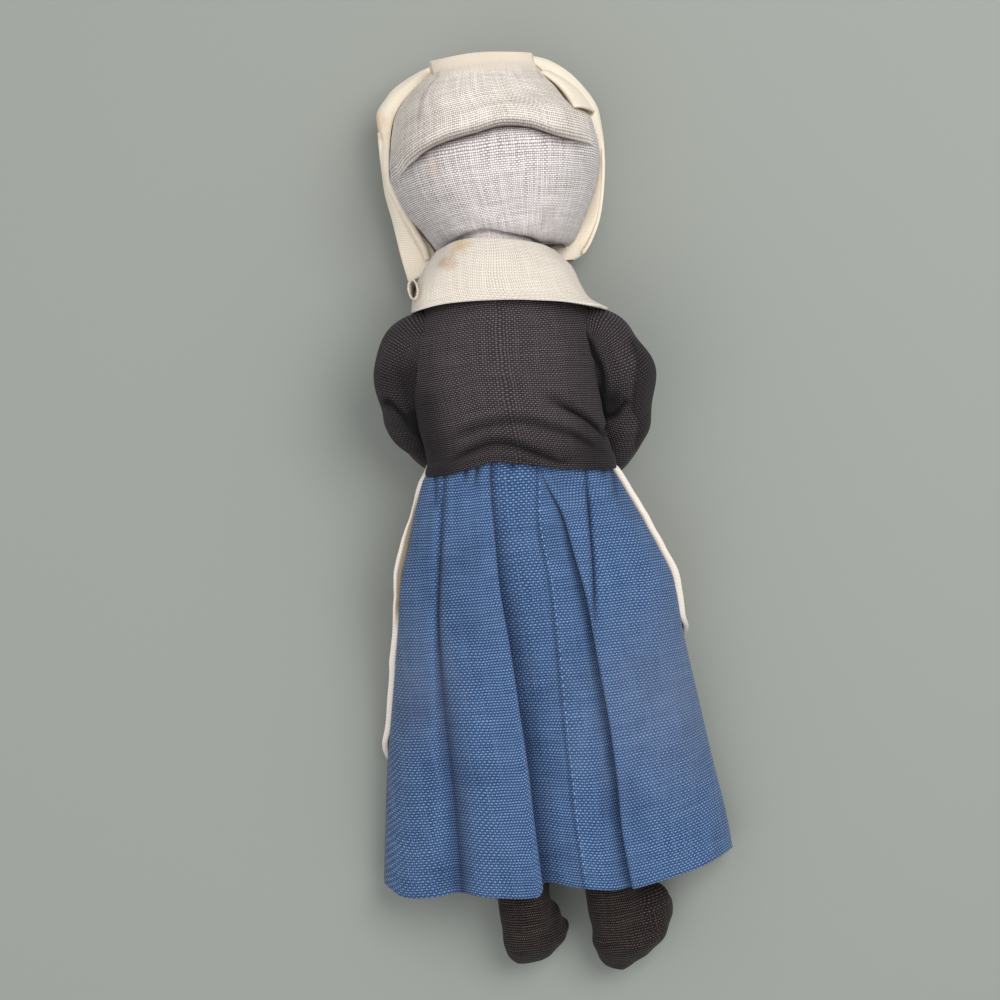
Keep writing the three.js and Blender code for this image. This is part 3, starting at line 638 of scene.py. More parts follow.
def skirtPlace(p, q):
    y, left, right, across, rise = skirtRow(q)
    if p > skirt["backShare"]:
        share = (p - skirt["backShare"]) / (1 - skirt["backShare"])
        x, y, z = skirtUnder(q, -pi * share)
        end = mix(skirt["top"], mix(skirtHem(right), skirtHem(left), share), q)
        return x, end, z + 0.25 * ripple(x / 9, y / 16, 3.1)
    c = foldShare(p / skirt["backShare"])
    x = across(c)
    end = skirtHem(skirtRow(1.0)[3](c))
    y = mix(skirt["top"], mix(skirt["bottom"], end, smooth(0.3, 1.0, q)), q)
    aside = (x - (left + right) / 2) / ((right - left) / 2)
    dome = sqrt(max(0.0, 1 - min(1.0, aside * aside)))
    gathers = 0.9 * ripple(c * 17, 3.3, q * 1.5) * smooth(0.0, 0.05, q) * (1 - smooth(0.05, 0.3, q))
    gathers -= 1.7 * tuckAt(x, y)
    pucker = (0.5 + 0.6 * ripple(y / 1.9, 4.0, 0.5)) * bell(x, backSeam(y) + 0.9, 1.2)
    gathers += pucker * smooth(0.03, 0.08, q)
    crease = -2.4 * bell(x, foldFour(y), 0.85) * smooth(0.06, 0.14, q) * (1 - smooth(0.36, 0.44, q))
    dents = 0.9 * ripple(x / 13, y / 24, 0.4) + 0.35 * ripple(x / 6, y / 11, 5.2)
    folds = rise(c) * smooth(-0.02, 0.06, q) + gathers + crease + dents * smooth(0.02, 0.2, q)
    middle = skirtLevels(q)[1]
    back = mix(skirt["waistBack"], skirt["hemBack"], max(0.0, q - 0.06) / 0.94)
    return x, y, middle + (back - middle) * dome + folds * min(1.0, dome * 1.7)


skirtThreads = follow([
    (0.0, 0.0), (0.19, 0.0165), (0.4, 0.0395), (0.53, 0.0555), (0.63, 0.0705), (0.8, 0.087), (1.0, 0.1035)])


def skirtFlat(p, q):
    share = skirt["backShare"]
    if p > share:
        return 0.11 + (p - share) / (1 - share) * skirt["frontArc"], q * skirt["length"]
    return 0.055 + (skirtThreads(foldShare(p / share)) - 0.055) * mix(0.8, 1.15, q), q * skirt["length"]


# Painted shade in the folds: right of the second, in the line of the third, beside the first and fourth, in
# the gathers and in a thin line beside the back seam
def skirtShade(p, q):
    if p > skirt["backShare"]:
        return 0.0
    y, across = skirtRow(q)[0], skirtRow(q)[3]
    c = foldShare(p / skirt["backShare"])
    x = across(c)
    dark = 0.9 * exp(-max(0.0, x - foldTwo(y)) / mix(1.6, 4.0, smooth(0.1, 0.4, q)))
    dark *= smooth(0.402, 0.412, c) * smooth(0.6, 0.5, c)
    low = smooth(0.35, 0.75, q)
    dark += 0.95 * bell(c, 0.622, 0.011) + mix(0.6, 0.5, low) * bell(c, 0.19, mix(0.009, 0.03, low))
    besideOne = 0.35 * exp(-max(0.0, x - foldOne(y)) / 4.0)
    dark += besideOne * smooth(0.185, 0.2, c) * smooth(0.3, 0.25, c) * smooth(0.35, 0.7, q)
    dark += 0.6 * tuckAt(x, y) + 0.9 * bell(c, 0.412, 0.008) + 0.5 * bell(x, backSeam(y) - 0.5, 0.45)
    atFour = smooth(0.03, 0.06, q) * (1 - smooth(0.36, 0.44, q)) * smooth(0.66, 0.68, c)
    dark += 0.9 * bell(x, foldFour(y), 0.6) * atFour
    return min(1.0, dark)


skirtCloth = clothGrid(
    "skirt_cloth", 300, 132, skirtPlace, skirtFlat, skirtWeave, wrap=True, shade=skirtShade)
thicken(skirtCloth, 0.7, 0.0)
dress(skirtCloth, None, "skirt_weave", "skirt")
bendAtHip(skirtCloth)

# Stitches of the centre back seam, which lies at this share of the back's columns
seamShare = mix(0.50, 0.62, (0.53 - 0.44) / 0.16)
stitches = {"count": 46, "start": 0.07, "pitch": 0.0202, "step": 0.0022, "uneven": 0.0006, "thread": 0.42}
stitchLines = []
for count in range(stitches["count"]):
    step = stitches["step"] + stitches["uneven"] * ripple(count, 2.0, 5.0)
    spots = []
    for part in range(4):
        along = stitches["start"] + count * stitches["pitch"] + part * step
        x, y, z = skirtPlace(seamShare * skirt["backShare"], along)
        spots.append((x + 0.15, y, z + 0.34 - 0.12 * abs(part - 1.5)))
    stitchLines.append(spots)
seamStitches = strands("seam_stitches", stitchLines, stitches["thread"], blueThread, None, "skirt_weave")
bendAtHip(seamStitches)
print("skirt made")

# Apron: under the doll's front, its hemmed sides flaring out beside the skirt
apron = {"bottomShare": 0.868, "flat": (0.124, 0.113), "hem": 0.022}


def apronPlace(p, q):
    row = q * apron["bottomShare"]
    y = skirtRow(row)[0]
    left = p < 0.5
    if left:
        edge, outward, sideX, proud = p, -1, skirtRow(row)[1], smooth(-78, -62, y)
        wide = mix(1.3, 2.0, smooth(10, -22, y)) + 1.3 * bell(y, -9, 9)
    else:
        edge, outward, sideX, proud = 1 - p, 1, skirtRow(row)[2], smooth(-48, -37, y)
        wide = mix(2.4, 1.8, smooth(-20, -40, y))
    tucked = mix(0.1, 0.03, proud)
    strip = max(0.0, 1 - edge / apron["hem"])
    wave = 0.35 * ripple(y / 9, 3 * p, 2.0) + 0.2 * ripple(y / 4, 5 * p, 7.0)
    middle = skirtLevels(row)[1]
    under = mix(tucked, 0.5, edge * 2)
    x, y, z = skirtUnder(row, pi * (1 + (under if left else 1 - under)), 1.2)
    rim = smooth(0.075, apron["hem"], edge) * proud
    out = mix(0.1, wide, strip) + wave
    level = middle + 0.9 - 0.7 * strip + 0.5 * wave
    x = mix(x, sideX + outward * out, rim) + outward * 1.2 * sin(pi * rim)
    return x, y, max(0.45, mix(z - 0.3, level, rim))


# Painted shade on the inner part of the side hems, so that only their outer edges look lit
def apronShade(p, q):
    y = skirtRow(q * apron["bottomShare"])[0]
    edge = min(p, 1 - p)
    beside = smooth(0.07, 0.05, edge)
    if p < 0.5:
        return smooth(0.004, 0.012, edge) * beside * smooth(12, 2, y) * smooth(-34, -24, y)
    return 0.8 * smooth(0.012, 0.02, edge) * beside * smooth(16, 10, y) * smooth(-26, -16, y)


apronCloth = clothGrid(
    "apron_cloth", 180, 90, apronPlace, laid(*apron["flat"]), apronLinen, shade=apronShade)
thicken(apronCloth, 0.5, 0.0)
dress(apronCloth, None, "apron_linen", "apron")
bendAtHip(apronCloth)
print("apron made")

# Jacket body: a loose back and front, its turned-up hem over the waistbands
jacket = {
    "top": 67.0, "axisZ": 33.0, "middleX": -0.6, "hemHalf": 29.4, "frontHem": 11.0, "flat": (0.172, 0.056)}
jacketHem = alongAt([
    (425, 477), (440, 476), (458, 473), (481, 467), (501, 462), (533, 467), (566, 470), (598, 469),
    (618, 468)], 44)
jacketLeft = follow([
    (8, -30.0), (14, -29.2), (20, -28.6), (27, -29.6), (34, -31.5), (44, -33.0), (54, -32.0), (60, -28.0),
    (64, -24.0), (67, -20)])
jacketRight = follow([
    (8, 28.8), (14, 28.0), (22, 26.6), (30, 26.4), (38, 27.2), (46, 27.4), (54, 27.2), (58, 26.0),
    (61, 23.6), (64, 21.0), (67, 18)])
jacketDepth = follow([
    (8, 19.6), (14, 18.8), (22, 18.6), (32, 19.4), (43, 20.4), (55, 19.8), (62, 18.0), (67, 15.5)])
dragCrease = alongAt([(540, 397), (553, 401), (575, 411), (590, 420), (603, 431)], 48)
waistCrease = alongAt([(440, 440), (480, 425), (520, 420), (570, 432), (600, 447)], 48)
lowCrease = alongAt([(440, 466), (465, 452), (490, 442), (512, 443), (535, 452), (560, 460)], 48)


def jacketPlace(p, q):
    turn = 2 * pi * p
    side, up = cos(turn), sin(turn)
    backHem = jacketHem(jacket["middleX"] + jacket["hemHalf"] * side)
    hem = mix(jacket["frontHem"], backHem, smooth(-0.2, 0.3, up))
    y = mix(jacket["top"], hem, q)
    depth = jacketDepth(y)
    reach = squarer(side, 0.84)
    x = mix(jacketLeft(y), jacketRight(y), (reach + 1) / 2)
    z = jacket["axisZ"] + depth * squarer(up, 0.88)
    rise = 0.5 * ripple(x / 10, y / 9, 1.7) + 0.25 * ripple(x / 4, y / 4, 8.0)
    rise += 0.8 * bell(q, 0.955, 0.022) - 0.4 * bell(q, 0.915, 0.014)
    if up > 0:
        rise -= 2.7 * bell(y, dragCrease(x), 1.3) * smooth(6, 14, x)
        rise += 1.0 * bell(y, dragCrease(x) + 3.2, 2.2) * smooth(4, 14, x)
        rise -= 1.9 * bell(y, waistCrease(x), 1.4) * smooth(-26, -12, x) * smooth(26, 16, x)
        rise -= 1.9 * bell(y, lowCrease(x), 1.2) * smooth(-24, -14, x) * smooth(18, 8, x)
        rise += 0.8 * bell(y, lowCrease(x) - 3.0, 1.6) * smooth(-20, -10, x) * smooth(16, 6, x)
    return x + rise * 0.4 * side, y, z + rise * up


# Painted shade in the creases, down both sides and towards the hem
def jacketShade(p, q):
    if p > 0.5:
        return 0.0
    x, y = jacketPlace(p, q)[:2]
    dark = 0.9 * bell(y, dragCrease(x) - 0.4, 1.0) * smooth(8, 16, x)
    dark += 0.5 * bell(y, waistCrease(x) - 0.4, 1.3) * smooth(-26, -12, x) * smooth(26, 16, x)
    dark += 0.6 * bell(y, lowCrease(x) - 0.4, 1.1) * smooth(-24, -14, x) * smooth(18, 8, x)
    dark += 0.35 * smooth(-19, -27, x) * smooth(16, 24, y) * smooth(46, 34, y)
    dark += 0.3 * smooth(13, 24, abs(x + 2)) + 0.4 * smooth(30, 14, y)
    return min(1.0, dark)


jacketCloth = clothGrid(
    "jacket_cloth", 190, 96, jacketPlace, laid(*jacket["flat"]), jacketWeave, wrap=True, shade=jacketShade)
thicken(jacketCloth, 0.8)
dress(jacketCloth, "torso", "jacket_weave", "jacket_body")

# Sleeves: set in at the shoulder, full at the elbow, drawn in to the wrist under the body
sleeveFlat = (0.054, 0.078)
sleeves = {
    "left": {
        "path": [
            (-17, 54.5, 36.0), (-26.5, 54.4, 38.5), (-31.8, 45.5, 36.5), (-31.6, 34, 30),
            (-27.4, 24.5, 20.5), (-18, 18.5, 10.5), (-11.5, 15.5, 7.4)],
        "radii": [5.0, 8.4, 9.4, 9.0, 7.8, 6.4, 5.6], "seed": 2.0},
    "right": {
        "path": [
            (17, 51.0, 36.0), (27.5, 50.8, 38.5), (32.8, 40.5, 36.5), (33.0, 28.5, 30),
            (28.6, 17.5, 20.5), (19.5, 12.5, 10.5), (12.5, 12.5, 7.4)],
        "radii": [5.0, 8.2, 9.2, 9.0, 8.2, 6.6, 5.6], "seed": 6.0}}
armhole = acrossAt([
    (584, 333), (595, 354), (602, 372), (603, 389), (601.5, 402), (604, 414), (603, 435), (612, 456)], 44)
outerLobe = acrossAt([(631, 345), (636, 360), (635, 383), (633, 408), (640, 421), (638, 440)], 40)
rightCrook = alongAt([(600, 411), (606, 415), (612, 415), (619, 411), (625, 402)], 42)
leftCrook = alongAt([(390, 402), (396, 408), (408, 421), (420, 436), (425, 446)], 36)
for name, sleeve in sleeves.items():
    def creases(turn, share, seed=sleeve["seed"]):
        around = ripple(cos(turn) * 1.6, sin(turn) * 1.6, share * 9 + seed)
        rings = sin(share * 34 + 2.2 * sin(turn + seed)) * bell(share, 0.55, 0.16)
        cuff = 0.5 * bell(share, 0.985, 0.02)
        shoulder = 0.7 * bell(share, 0.36, 0.05) - 0.8 * bell(share, 0.26, 0.04)
        tuckedUnder = -1.2 * bell(share, 0.13, 0.07) * smooth(-0.4, -0.9, cos(turn))
        return 0.8 * around + 0.5 * rings + cuff + (shoulder + tuckedUnder) * (seed > 4)
    place = sweep(sleeve["path"], sleeve["radii"], creases)

    # Painted shade over the whole sleeve, darkest where it goes in beside the body and in the crook of each
    # elbow, fading out underneath
    def sleeveShade(p, q, place=place, right=name == "right"):
        x, y, z = place(p, q)
        seenShare = smooth(15, 27, z)
        if right:
            dark = 0.95 * bell(x, armhole(y), 1.1) * smooth(53, 48, y)
            dark += 0.6 * bell(hypot(x - 29.4, (y - 29.6) * 0.8), 0, 3.4)
            dark += 0.9 * bell(y, rightCrook(x), 0.9) * smooth(23.5, 26, x) * smooth(35, 33, x)
            lobe = 0.35 * smooth(-0.3, 1.0, x - outerLobe(y)) + 0.4 * bell(x, outerLobe(y), 0.6)
            dark += lobe * smooth(50, 46, y)
            return min(1.0, dark + 0.3) * seenShare
        dark = 0.45 + 0.35 * exp(-max(0.0, jacketLeft(y) - x) / 4.0) * smooth(52, 44, y)
        dark += 0.75 * bell(y, leftCrook(x), 1.1) * smooth(-42, -38, x)
        dark += 0.5 * bell(hypot(x + 30.5, y - 30), 0, 3.2)
        return min(1.0, dark) * seenShare
    cloth = clothGrid(
        f"sleeve_cloth_{name}", 72, 90, place, laid(*sleeveFlat), jacketWeave, wrap=True, shade=sleeveShade)
    thicken(cloth, 0.7)
    dress(cloth, None, "jacket_weave", f"sleeve_{name}")
    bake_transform(cloth)
print("jacket made")

# Kerchief: a soft cape from the neck over the shoulders, one end rolled and one drawn to a point
kerchief = {
    "axisZ": 33.0, "flat": (0.142, 0.026), "frontHem": 49.0, "rollFlat": (0.02, 0.008), "rollTop": (413, 290),
    "rollFoot": (417, 293)}
kerchiefTop = alongAt([
    (430, 250), (437, 247.5), (453, 241), (471, 237.5), (489, 237), (512, 238.5), (539, 242), (555, 246),
    (562, 250)], 47)
kerchiefHem = alongAt([
    (411, 311), (417, 310), (449, 304), (503, 301), (556, 302), (590, 304), (607, 306)], 50)
kerchiefLeft = sideAt([
    (0, 434, 250), (0.25, 424, 263), (0.5, 415, 276), (0.75, 411, 290), (1.0, 411, 311)], 40)
kerchiefRight = sideAt([
    (0, 555, 243), (0.15, 563, 252), (0.32, 572, 264), (0.68, 583, 287), (0.88, 592, 299),
    (1.0, 608, 306)], 40)
kerchiefDepth = follow([(0.0, 14.2), (0.3, 17.6), (0.6, 19.6), (0.85, 21.0), (1.0, 21.4)])


def kerchiefPlace(p, q):
    turn = 2 * pi * p
    side, up = cos(turn), sin(turn)
    reach = squarer(side, 0.9)
    x = mix(kerchiefLeft(q), kerchiefRight(q), (reach + 1) / 2)
    front = max(0.0, -up) ** 2
    top = kerchiefTop(mix(kerchiefLeft(0), kerchiefRight(0), (reach + 1) / 2))
    hem = mix(kerchiefHem(x), kerchief["frontHem"], front)
    y = mix(top, hem, q)
    fullness = mix(0.85, 0.42, q) if up > 0 else 0.85
    z = kerchief["axisZ"] + kerchiefDepth(q) * squarer(up, fullness)
    folds = 0.45 * ripple(x / 8, y / 12, 4.4)
    folds += 0.5 * sin(turn * 9 + 1.0) * bell(q, 0.3, 0.3) * smooth(0.3, 0.9, abs(side))
    folds += 0.35 * bell(q, 0.97, 0.03)
    return x + folds * 0.4 * side, y, z + folds * up


kerchiefCloth = clothGrid(
    "kerchief_cloth", 180, 44, kerchiefPlace, laid(*kerchief["flat"]), kerchiefLinen, wrap=True)
thicken(kerchiefCloth, 0.8)
dress(kerchiefCloth, "torso", "kerchief_linen", "kerchief")


# The end beside the neck is folded to a narrow loop that stands open and is pinched shut at its foot
def rollPlace(p, q):
    turn = 2 * pi * p
    top, foot = kerchief["rollTop"], kerchief["rollFoot"]
    x, y = seen(mix(top[0], foot[0], q), mix(top[1], foot[1], q), 46)
    wide = mix(1.35, 0.5, q * q) + 0.15 * ripple(cos(turn), sin(turn), q * 2)
    y += mix(2.9, 1.6, q * q) * sin(turn)
    return x + wide * cos(turn), y, mix(48.5, 37.0, q) - 0.5 * sin(turn)


rollCloth = clothGrid(
    "kerchief_roll", 48, 20, rollPlace, laid(*kerchief["rollFlat"]), kerchiefLinen, wrap=True)
thicken(rollCloth, 0.5, 0.0)
dress(rollCloth, "torso", "kerchief_linen")
print("kerchief made")

# Bonnet: crown over the back of the head, upper layer lapped over it along a deep tuck
cap = {
    "y": 108.2, "z": 30.0, "rise": 28.6, "back": 25.2, "edge": 16.0, "roundUp": 0.86, "roundBack": 0.78,
    "roundNape": 0.6, "roundSide": 2.6, "crownStart": -88, "crownEnd": 112, "bandEnd": 116,
    "crownFlat": (0.088, 0.094), "bandFlat": (0.088, 0.048)}
capLeft = acrossAt([
    (439, 60), (434, 68), (421, 80), (404, 98), (394, 115), (391, 130), (389, 145), (388, 165), (391, 182),
    (399, 200), (413, 220), (426, 236), (438, 249), (448, 256)], 26)
capRight = acrossAt([
    (530, 56), (536, 63), (548, 75), (562, 90), (575, 104), (591, 114), (596, 126), (599, 140), (600, 154),
    (598, 170), (594, 188), (587, 210), (576, 235), (561, 251)], 26)
tuckLine = follow([seen(*point) for point in [
    (396, 180, 27), (403, 173, 32), (414, 162, 37), (431, 150, 43), (449, 142, 47), (474, 134, 50),
    (494, 127.5, 51), (512, 125.5, 51), (530, 127, 51), (547, 132, 49), (565, 137, 45), (587, 141.5, 35),
    (598, 145, 27)]])


# A point of the head's back: share across from -1 to 1, pitch in degrees from straight back up to the top
def capPoint(across, pitch, out):
    b = radians(pitch)
    up = squarer(sin(b), cap["roundUp"])
    behind = squarer(cos(b), cap["roundBack" if pitch > 0 else "roundNape"])
    y = cap["y"] + cap["rise"] * up
    left, right = capLeft(y), capRight(y)
    x = mix(left, right, (across + 1) / 2)
    dome = sqrt(max(0.0, 1 - abs(across) ** cap["roundSide"]))
    low = min(cap["edge"], cap["z"] + cap["back"] * behind)
    z = low + (cap["z"] + cap["back"] * behind - low) * dome
    return x + out * 0.5 * across ** 3, y + out * up * abs(up) * dome, z + out * max(0.0, behind) * dome


# How far across the head a share of its columns is, closest at the sides
def acrossHead(p):
    return sin(mix(-0.5, 0.5, p) * pi)


# The pitch at which the head's back passes under a line of the photograph
def pitchUnder(across, line):
    low, high = -85.0, 85.0
    for turn in range(22):
        half = (low + high) / 2
        x, y = capPoint(across, half, 0.0)[:2]
        if y < line(x):
            low = half
        else:
            high = half
    return (low + high) / 2


tuckPitch = follow([(i / 14, pitchUnder(i / 14, tuckLine)) for i in range(-14, 15)])
napeLine = alongAt([
    (430, 256), (437, 251), (453, 241), (471, 234), (489, 232), (512, 235), (539, 239), (555, 243),
    (566, 250)], 48)
napePitch = follow([(i / 10, pitchUnder(i / 10, napeLine)) for i in range(-10, 11)])


def crownPlace(p, q):
    across = acrossHead(p)
    pitch = mix(cap["crownStart"], cap["crownEnd"], q)
    tuck = tuckPitch(across)
    fade = smooth(1.0, 0.82, abs(across))
    puff = 1.0 * bell(pitch, tuck - 20, 13) - 2.2 * smooth(tuck - 6, tuck + 1, pitch) * fade
    puff += 0.4 * ripple(across * 5, pitch / 14, 2.5) + 0.2 * ripple(across * 14, pitch / 5, 9.5)
    nape = napePitch(across)
    puff += 0.8 * bell(pitch, nape + 13, 9) - 1.2 * smooth(nape + 6, nape, pitch)
    x, y, z = capPoint(across, max(pitch, nape), puff)
    below = max(0.0, nape - pitch)
    tail = mix(0.04, 0.34, smooth(0.95, 0.6, abs(across)))
    return x * (1 - 0.004 * below), y - tail * below, z + 1.4 * bell(below, 6, 4) - 0.05 * below


# Shadow under the edge of the upper layer and along the nape
def crownShade(p, q):
    across = acrossHead(p)
    pitch = mix(cap["crownStart"], cap["crownEnd"], q)
    dark = 0.9 * bell(pitch, tuckPitch(across) - 0.5, 3.0) * smooth(0.98, 0.6, abs(across))
    return min(1.0, dark + 0.45 * bell(pitch, napePitch(across) - 0.5, 3.0) * smooth(0.9, 0.6, abs(across)))


def bandPlace(p, q):
    across = acrossHead(p)
    tuck = tuckPitch(across)
    pitch = mix(tuck - 1.0, cap["bandEnd"], q)
    edge = pitch - tuck
    fade = smooth(0.97, 0.5, abs(across))
    roll = (1.5 * bell(edge, 7.0, 7.5) - 2.0 * smooth(2.4, -1.0, edge)) * fade
    lift = mix(-0.7 * smooth(30, 10, edge) + 0.3, 1.25, fade)
    return capPoint(across, pitch, lift + roll + 0.45 * ripple(across * 6, pitch / 12, 6.5))


sideCrease = acrossAt([(438, 78), (430, 87), (424, 97), (421, 110), (420, 130)], 42)


# Painted shade under the rolled lower edge of the upper layer and along a crease below the flap's left corner
def bandShade(p, q):
    x, y = bandPlace(p, q)[:2]
    across = acrossHead(p)
    edge = mix(-1.0, cap["bandEnd"] - tuckPitch(across), q)
    dark = 0.5 * smooth(3.5, 0.0, edge) * smooth(0.98, 0.6, abs(across))
    return dark + 0.3 * bell(x, sideCrease(y), 0.7) * smooth(116, 121, y)


# Height of the head's back over a place
def capHeight(x, y):
    up = min(0.98, max(-0.98, (y - cap["y"]) / cap["rise"]))
    behind = sqrt(1 - abs(up) ** (2 / cap["roundUp"])) ** cap["roundBack"]
    across = max(-1.0, min(1.0, 2 * (x - capLeft(y)) / (capRight(y) - capLeft(y)) - 1))
    dome = sqrt(max(0.0, 1 - abs(across) ** cap["roundSide"]))
    return cap["edge"] + (cap["z"] + cap["back"] * behind - cap["edge"]) * dome


# Flap: the ends of its lower edge are points of the photograph, and those of its top edge are pixels across
flap = {
    "lowLeft": (437, 88), "lowRight": (543, 82), "topLeft": 430.5, "topRight": 531.5, "turnY": 133.6,
    "turnShare": 0.7, "underZ": 19.0, "flat": (0.033, 0.029)}
flapTop = follow([(0.0, 66.0), (0.4, 58.5), (0.72, 57.0), (1.0, 56.0)])
flapLevel = follow([(0.0, 38.0), (0.3, 44.0), (0.5, 45.0), (0.8, 39.0), (1.0, 30.0)])


# Stiff in its folds, so that its corners stand clear of the cap
def flapPlace(p, q):
    over = min(1.0, q / flap["turnShare"])
    back = max(0.0, (q - flap["turnShare"]) / (1 - flap["turnShare"]))
    level = flapLevel(over) - 8 * (2 * p - 1) ** 4
    left, right = flap["lowLeft"], flap["lowRight"]
    px = mix(mix(left[0], right[0], p), mix(flap["topLeft"], flap["topRight"], p), over)
    x, y = seen(px, mix(mix(left[1], right[1], p), flapTop(p), over), level)
    lie = capHeight(x, min(y, flap["turnY"])) + mix(0.9, 2.4, smooth(0.0, 0.6, over))
    lie -= 1.4 * max(0.0, y - flap["turnY"])
    z = max(lie, level) + 0.3 * ripple(x / 7, y / 7, 6.5)
    return x, y - 2.4 * smooth(0, 1, back), mix(z, flap["underZ"], back)


crownCloth = clothGrid(
    "bonnet_crown_cloth", 150, 120, crownPlace, laid(*cap["crownFlat"]), crownLinen, shade=crownShade)
bandCloth = clothGrid(
    "bonnet_band_cloth", 150, 80, bandPlace, laid(*cap["bandFlat"]), bandLinen, shade=bandShade)
flapCloth = clothGrid("bonnet_flap_cloth", 60, 56, flapPlace, laid(*flap["flat"]), bandLinen)
capPieces = [(crownCloth, "crown", 0.8), (bandCloth, "band", 0.8), (flapCloth, "flap", 0.7)]
for cloth, label, thickness in capPieces:
    thicken(cloth, thickness)
    dress(cloth, "head", "cap_linen", f"bonnet_{label}")

# Brim: a strip round the face from its seam with the crown out to its hemmed edge, with ends that hang
# beside the neck
brim = {"turnShare": 0.55, "underInset": 1.6, "flat": (0.19, 0.024)}
brimOuter = [
    (410, 283), (401, 252), (394, 224), (387, 198), (384, 178), (381, 154), (382, 141), (379, 128),
    (379, 116), (386, 104), (395, 93), (412, 81), (432, 71), (470, 62), (503, 60), (533, 61), (553, 67),
    (574, 82), (594, 107), (600, 130), (603, 159), (602, 191), (598, 219), (590, 241), (582, 254),
    (573, 260)]
brimInner = [
    (434, 269), (434, 250), (413, 224), (399, 204), (391, 186), (389, 170), (389, 152), (390, 138),
    (392, 124), (396, 112), (405, 98), (421, 82), (438, 70), (472, 64), (503, 62), (531, 62), (546, 74),
    (562, 92), (582, 112), (595, 134), (597, 160), (592, 190), (585, 214), (566, 236), (545, 249),
    (540, 262)]


# A smooth line through points of the photograph at one height
def photoLine(points, z):
    placed = [seen(px, py, z) for px, py in points]
    last = len(points) - 1
    lines = [follow([(i / last, spot[axis]) for i, spot in enumerate(placed)]) for axis in (0, 1)]
    return lambda share: (lines[0](share), lines[1](share))


brimEdge, brimSeam = photoLine(brimOuter, 12), photoLine(brimInner, 24)


def brimPlace(p, q):
    ends = smooth(0.22, 0.0, p) + smooth(0.78, 1.0, p)
    seamX, seamY = brimSeam(p)
    edgeX, edgeY = brimEdge(p)
    share = min(1.0, q / brim["turnShare"])
    under = max(0.0, (q - brim["turnShare"]) / (1 - brim["turnShare"]))
    turned = smooth(0.72, 0.8, p)
    swell = mix(0.5, 1.6, turned) * sin(pi * share)
    swell += 0.4 * ripple(p * 16, q * 3, 3.0) * sin(pi * q)
    inward = brim["underInset"] * under ** 2
    towards = Vector((seamX - edgeX, seamY - edgeY)).normalized()
    x = mix(seamX, edgeX, share ** 0.8) + towards.x * (inward - swell * 0.6)
    y = mix(seamY, edgeY, share ** 0.8) + towards.y * (inward - swell * 0.6)
    seat = mix(mix(22.0, 17.0, ends), 14.6, turned)
    z = mix(seat, mix(mix(18.0, 14.5, ends), 15.0, turned), share ** 1.6) + swell
    return x, y, z - mix(15.0, mix(6.0, 8.0, turned), ends) * under


brimCloth = clothGrid("bonnet_brim_cloth", 200, 30, brimPlace, laid(*brim["flat"]), capLinen)
thicken(brimCloth, 0.8, 0.0)
dress(brimCloth, "head", "cap_linen", "bonnet_brim")

# Rolled edges: along the free edge at the right, and from the left cheek down to the inner corner of the end
edgeRight = photoLine([
    (534, 59), (553, 65), (574, 81), (594, 106), (600.5, 130), (603, 159), (602, 191), (598, 219),
    (590, 241), (582, 254)], 17)
edgeLeft = photoLine([
    (381, 131), (382, 145), (384, 160), (388, 176), (393, 192), (403, 212), (414, 231), (424, 249),
    (428, 261)], 18)
rightRoll = [(*edgeRight(i / 50), 16.5) for i in range(51)]
rollLevel = follow([(0.0, 19.2), (0.4, 20.3), (0.7, 21.0), (0.87, 20.0), (1.0, 18.6)])
leftRoll = [(*edgeLeft(i / 40), rollLevel(i / 40)) for i in range(41)]
strands("bonnet_edge_roll", [rightRoll], 1.2, capLinen, "head", "cap_linen")
strands("bonnet_cheek_roll", [leftRoll], 2.2, capLinen, "head", "cap_linen")


# The corner folded down at the right: it rises off the cap, turns over and hangs down. Its ends are points
# of the photograph, at the fold and at the free edge
corner = {
    "foldTop": (541, 70), "foldLow": (574, 110), "freeTop": (553, 66), "freeLow": (595, 107), "photoZ": 36,
    "riseEnd": 0.14, "overEnd": 0.54, "hangZ": 16.0, "flat": (0.02, 0.017)}


def cornerPlace(p, q):
    rise = min(1.0, p / corner["riseEnd"])
    over = min(1.0, max(0.0, (p - corner["riseEnd"]) / (corner["overEnd"] - corner["riseEnd"])))
    down = max(0.0, (p - corner["overEnd"]) / (1 - corner["overEnd"]))

    def onPhoto(start, end, share):
        return seen(mix(start[0], end[0], share), mix(start[1], end[1], share), corner["photoZ"])

    top = onPhoto(corner["foldTop"], corner["freeTop"], over)
    low = onPhoto(corner["foldLow"], corner["freeLow"], over)
    inner = onPhoto(corner["foldTop"], corner["foldLow"], q)
    bow = 1.2 * sin(pi * q)
    lie = capHeight(inner[0] + bow, inner[1] + bow * 0.7) - 0.5
    stiffTop = capHeight(*seen(*corner["foldTop"], corner["photoZ"])) + 1.5
    stiffLow = capHeight(*seen(*corner["foldLow"], corner["photoZ"])) + 2.6
    seat = mix(lie, mix(lie, mix(stiffTop, stiffLow, q), 0.75), rise)
    z = mix(mix(seat, mix(24.0, 27.0, q), over ** 1.5), corner["hangZ"], down) + 0.8 * sin(pi * over)
    return mix(top[0], low[0], q) + bow, mix(top[1], low[1], q) + bow * 0.7, z


cornerCloth = clothGrid("bonnet_corner_fold", 50, 30, cornerPlace, laid(*corner["flat"]), capLinen)
thicken(cornerCloth, 0.7, 0.0)
dress(cornerCloth, "head", "cap_linen")
print("bonnet made")


# Stuffed body: closed bags of muslin and stocking cloth
def bag(name, points, radii, material, balls=(), flatten=1.0, columns=28):
    made = clothGrid(
        name, columns, 40, sweep(points, radii, flatten=flatten), laid(0.05, 0.1), material, wrap=True)
    closeEnds(made)
    with opened(made) as bm:
        for ball in balls:
            bmesh.ops.create_uvsphere(bm, u_segments=24, v_segments=16, radius=1.0, matrix=ball)
    return made


def ballAt(centre, halves):
    size = Matrix.Diagonal((halves[0] * mm, halves[1] * mm, halves[2] * mm, 1.0))
    return Matrix.Translation(inFrame(*centre)) @ size


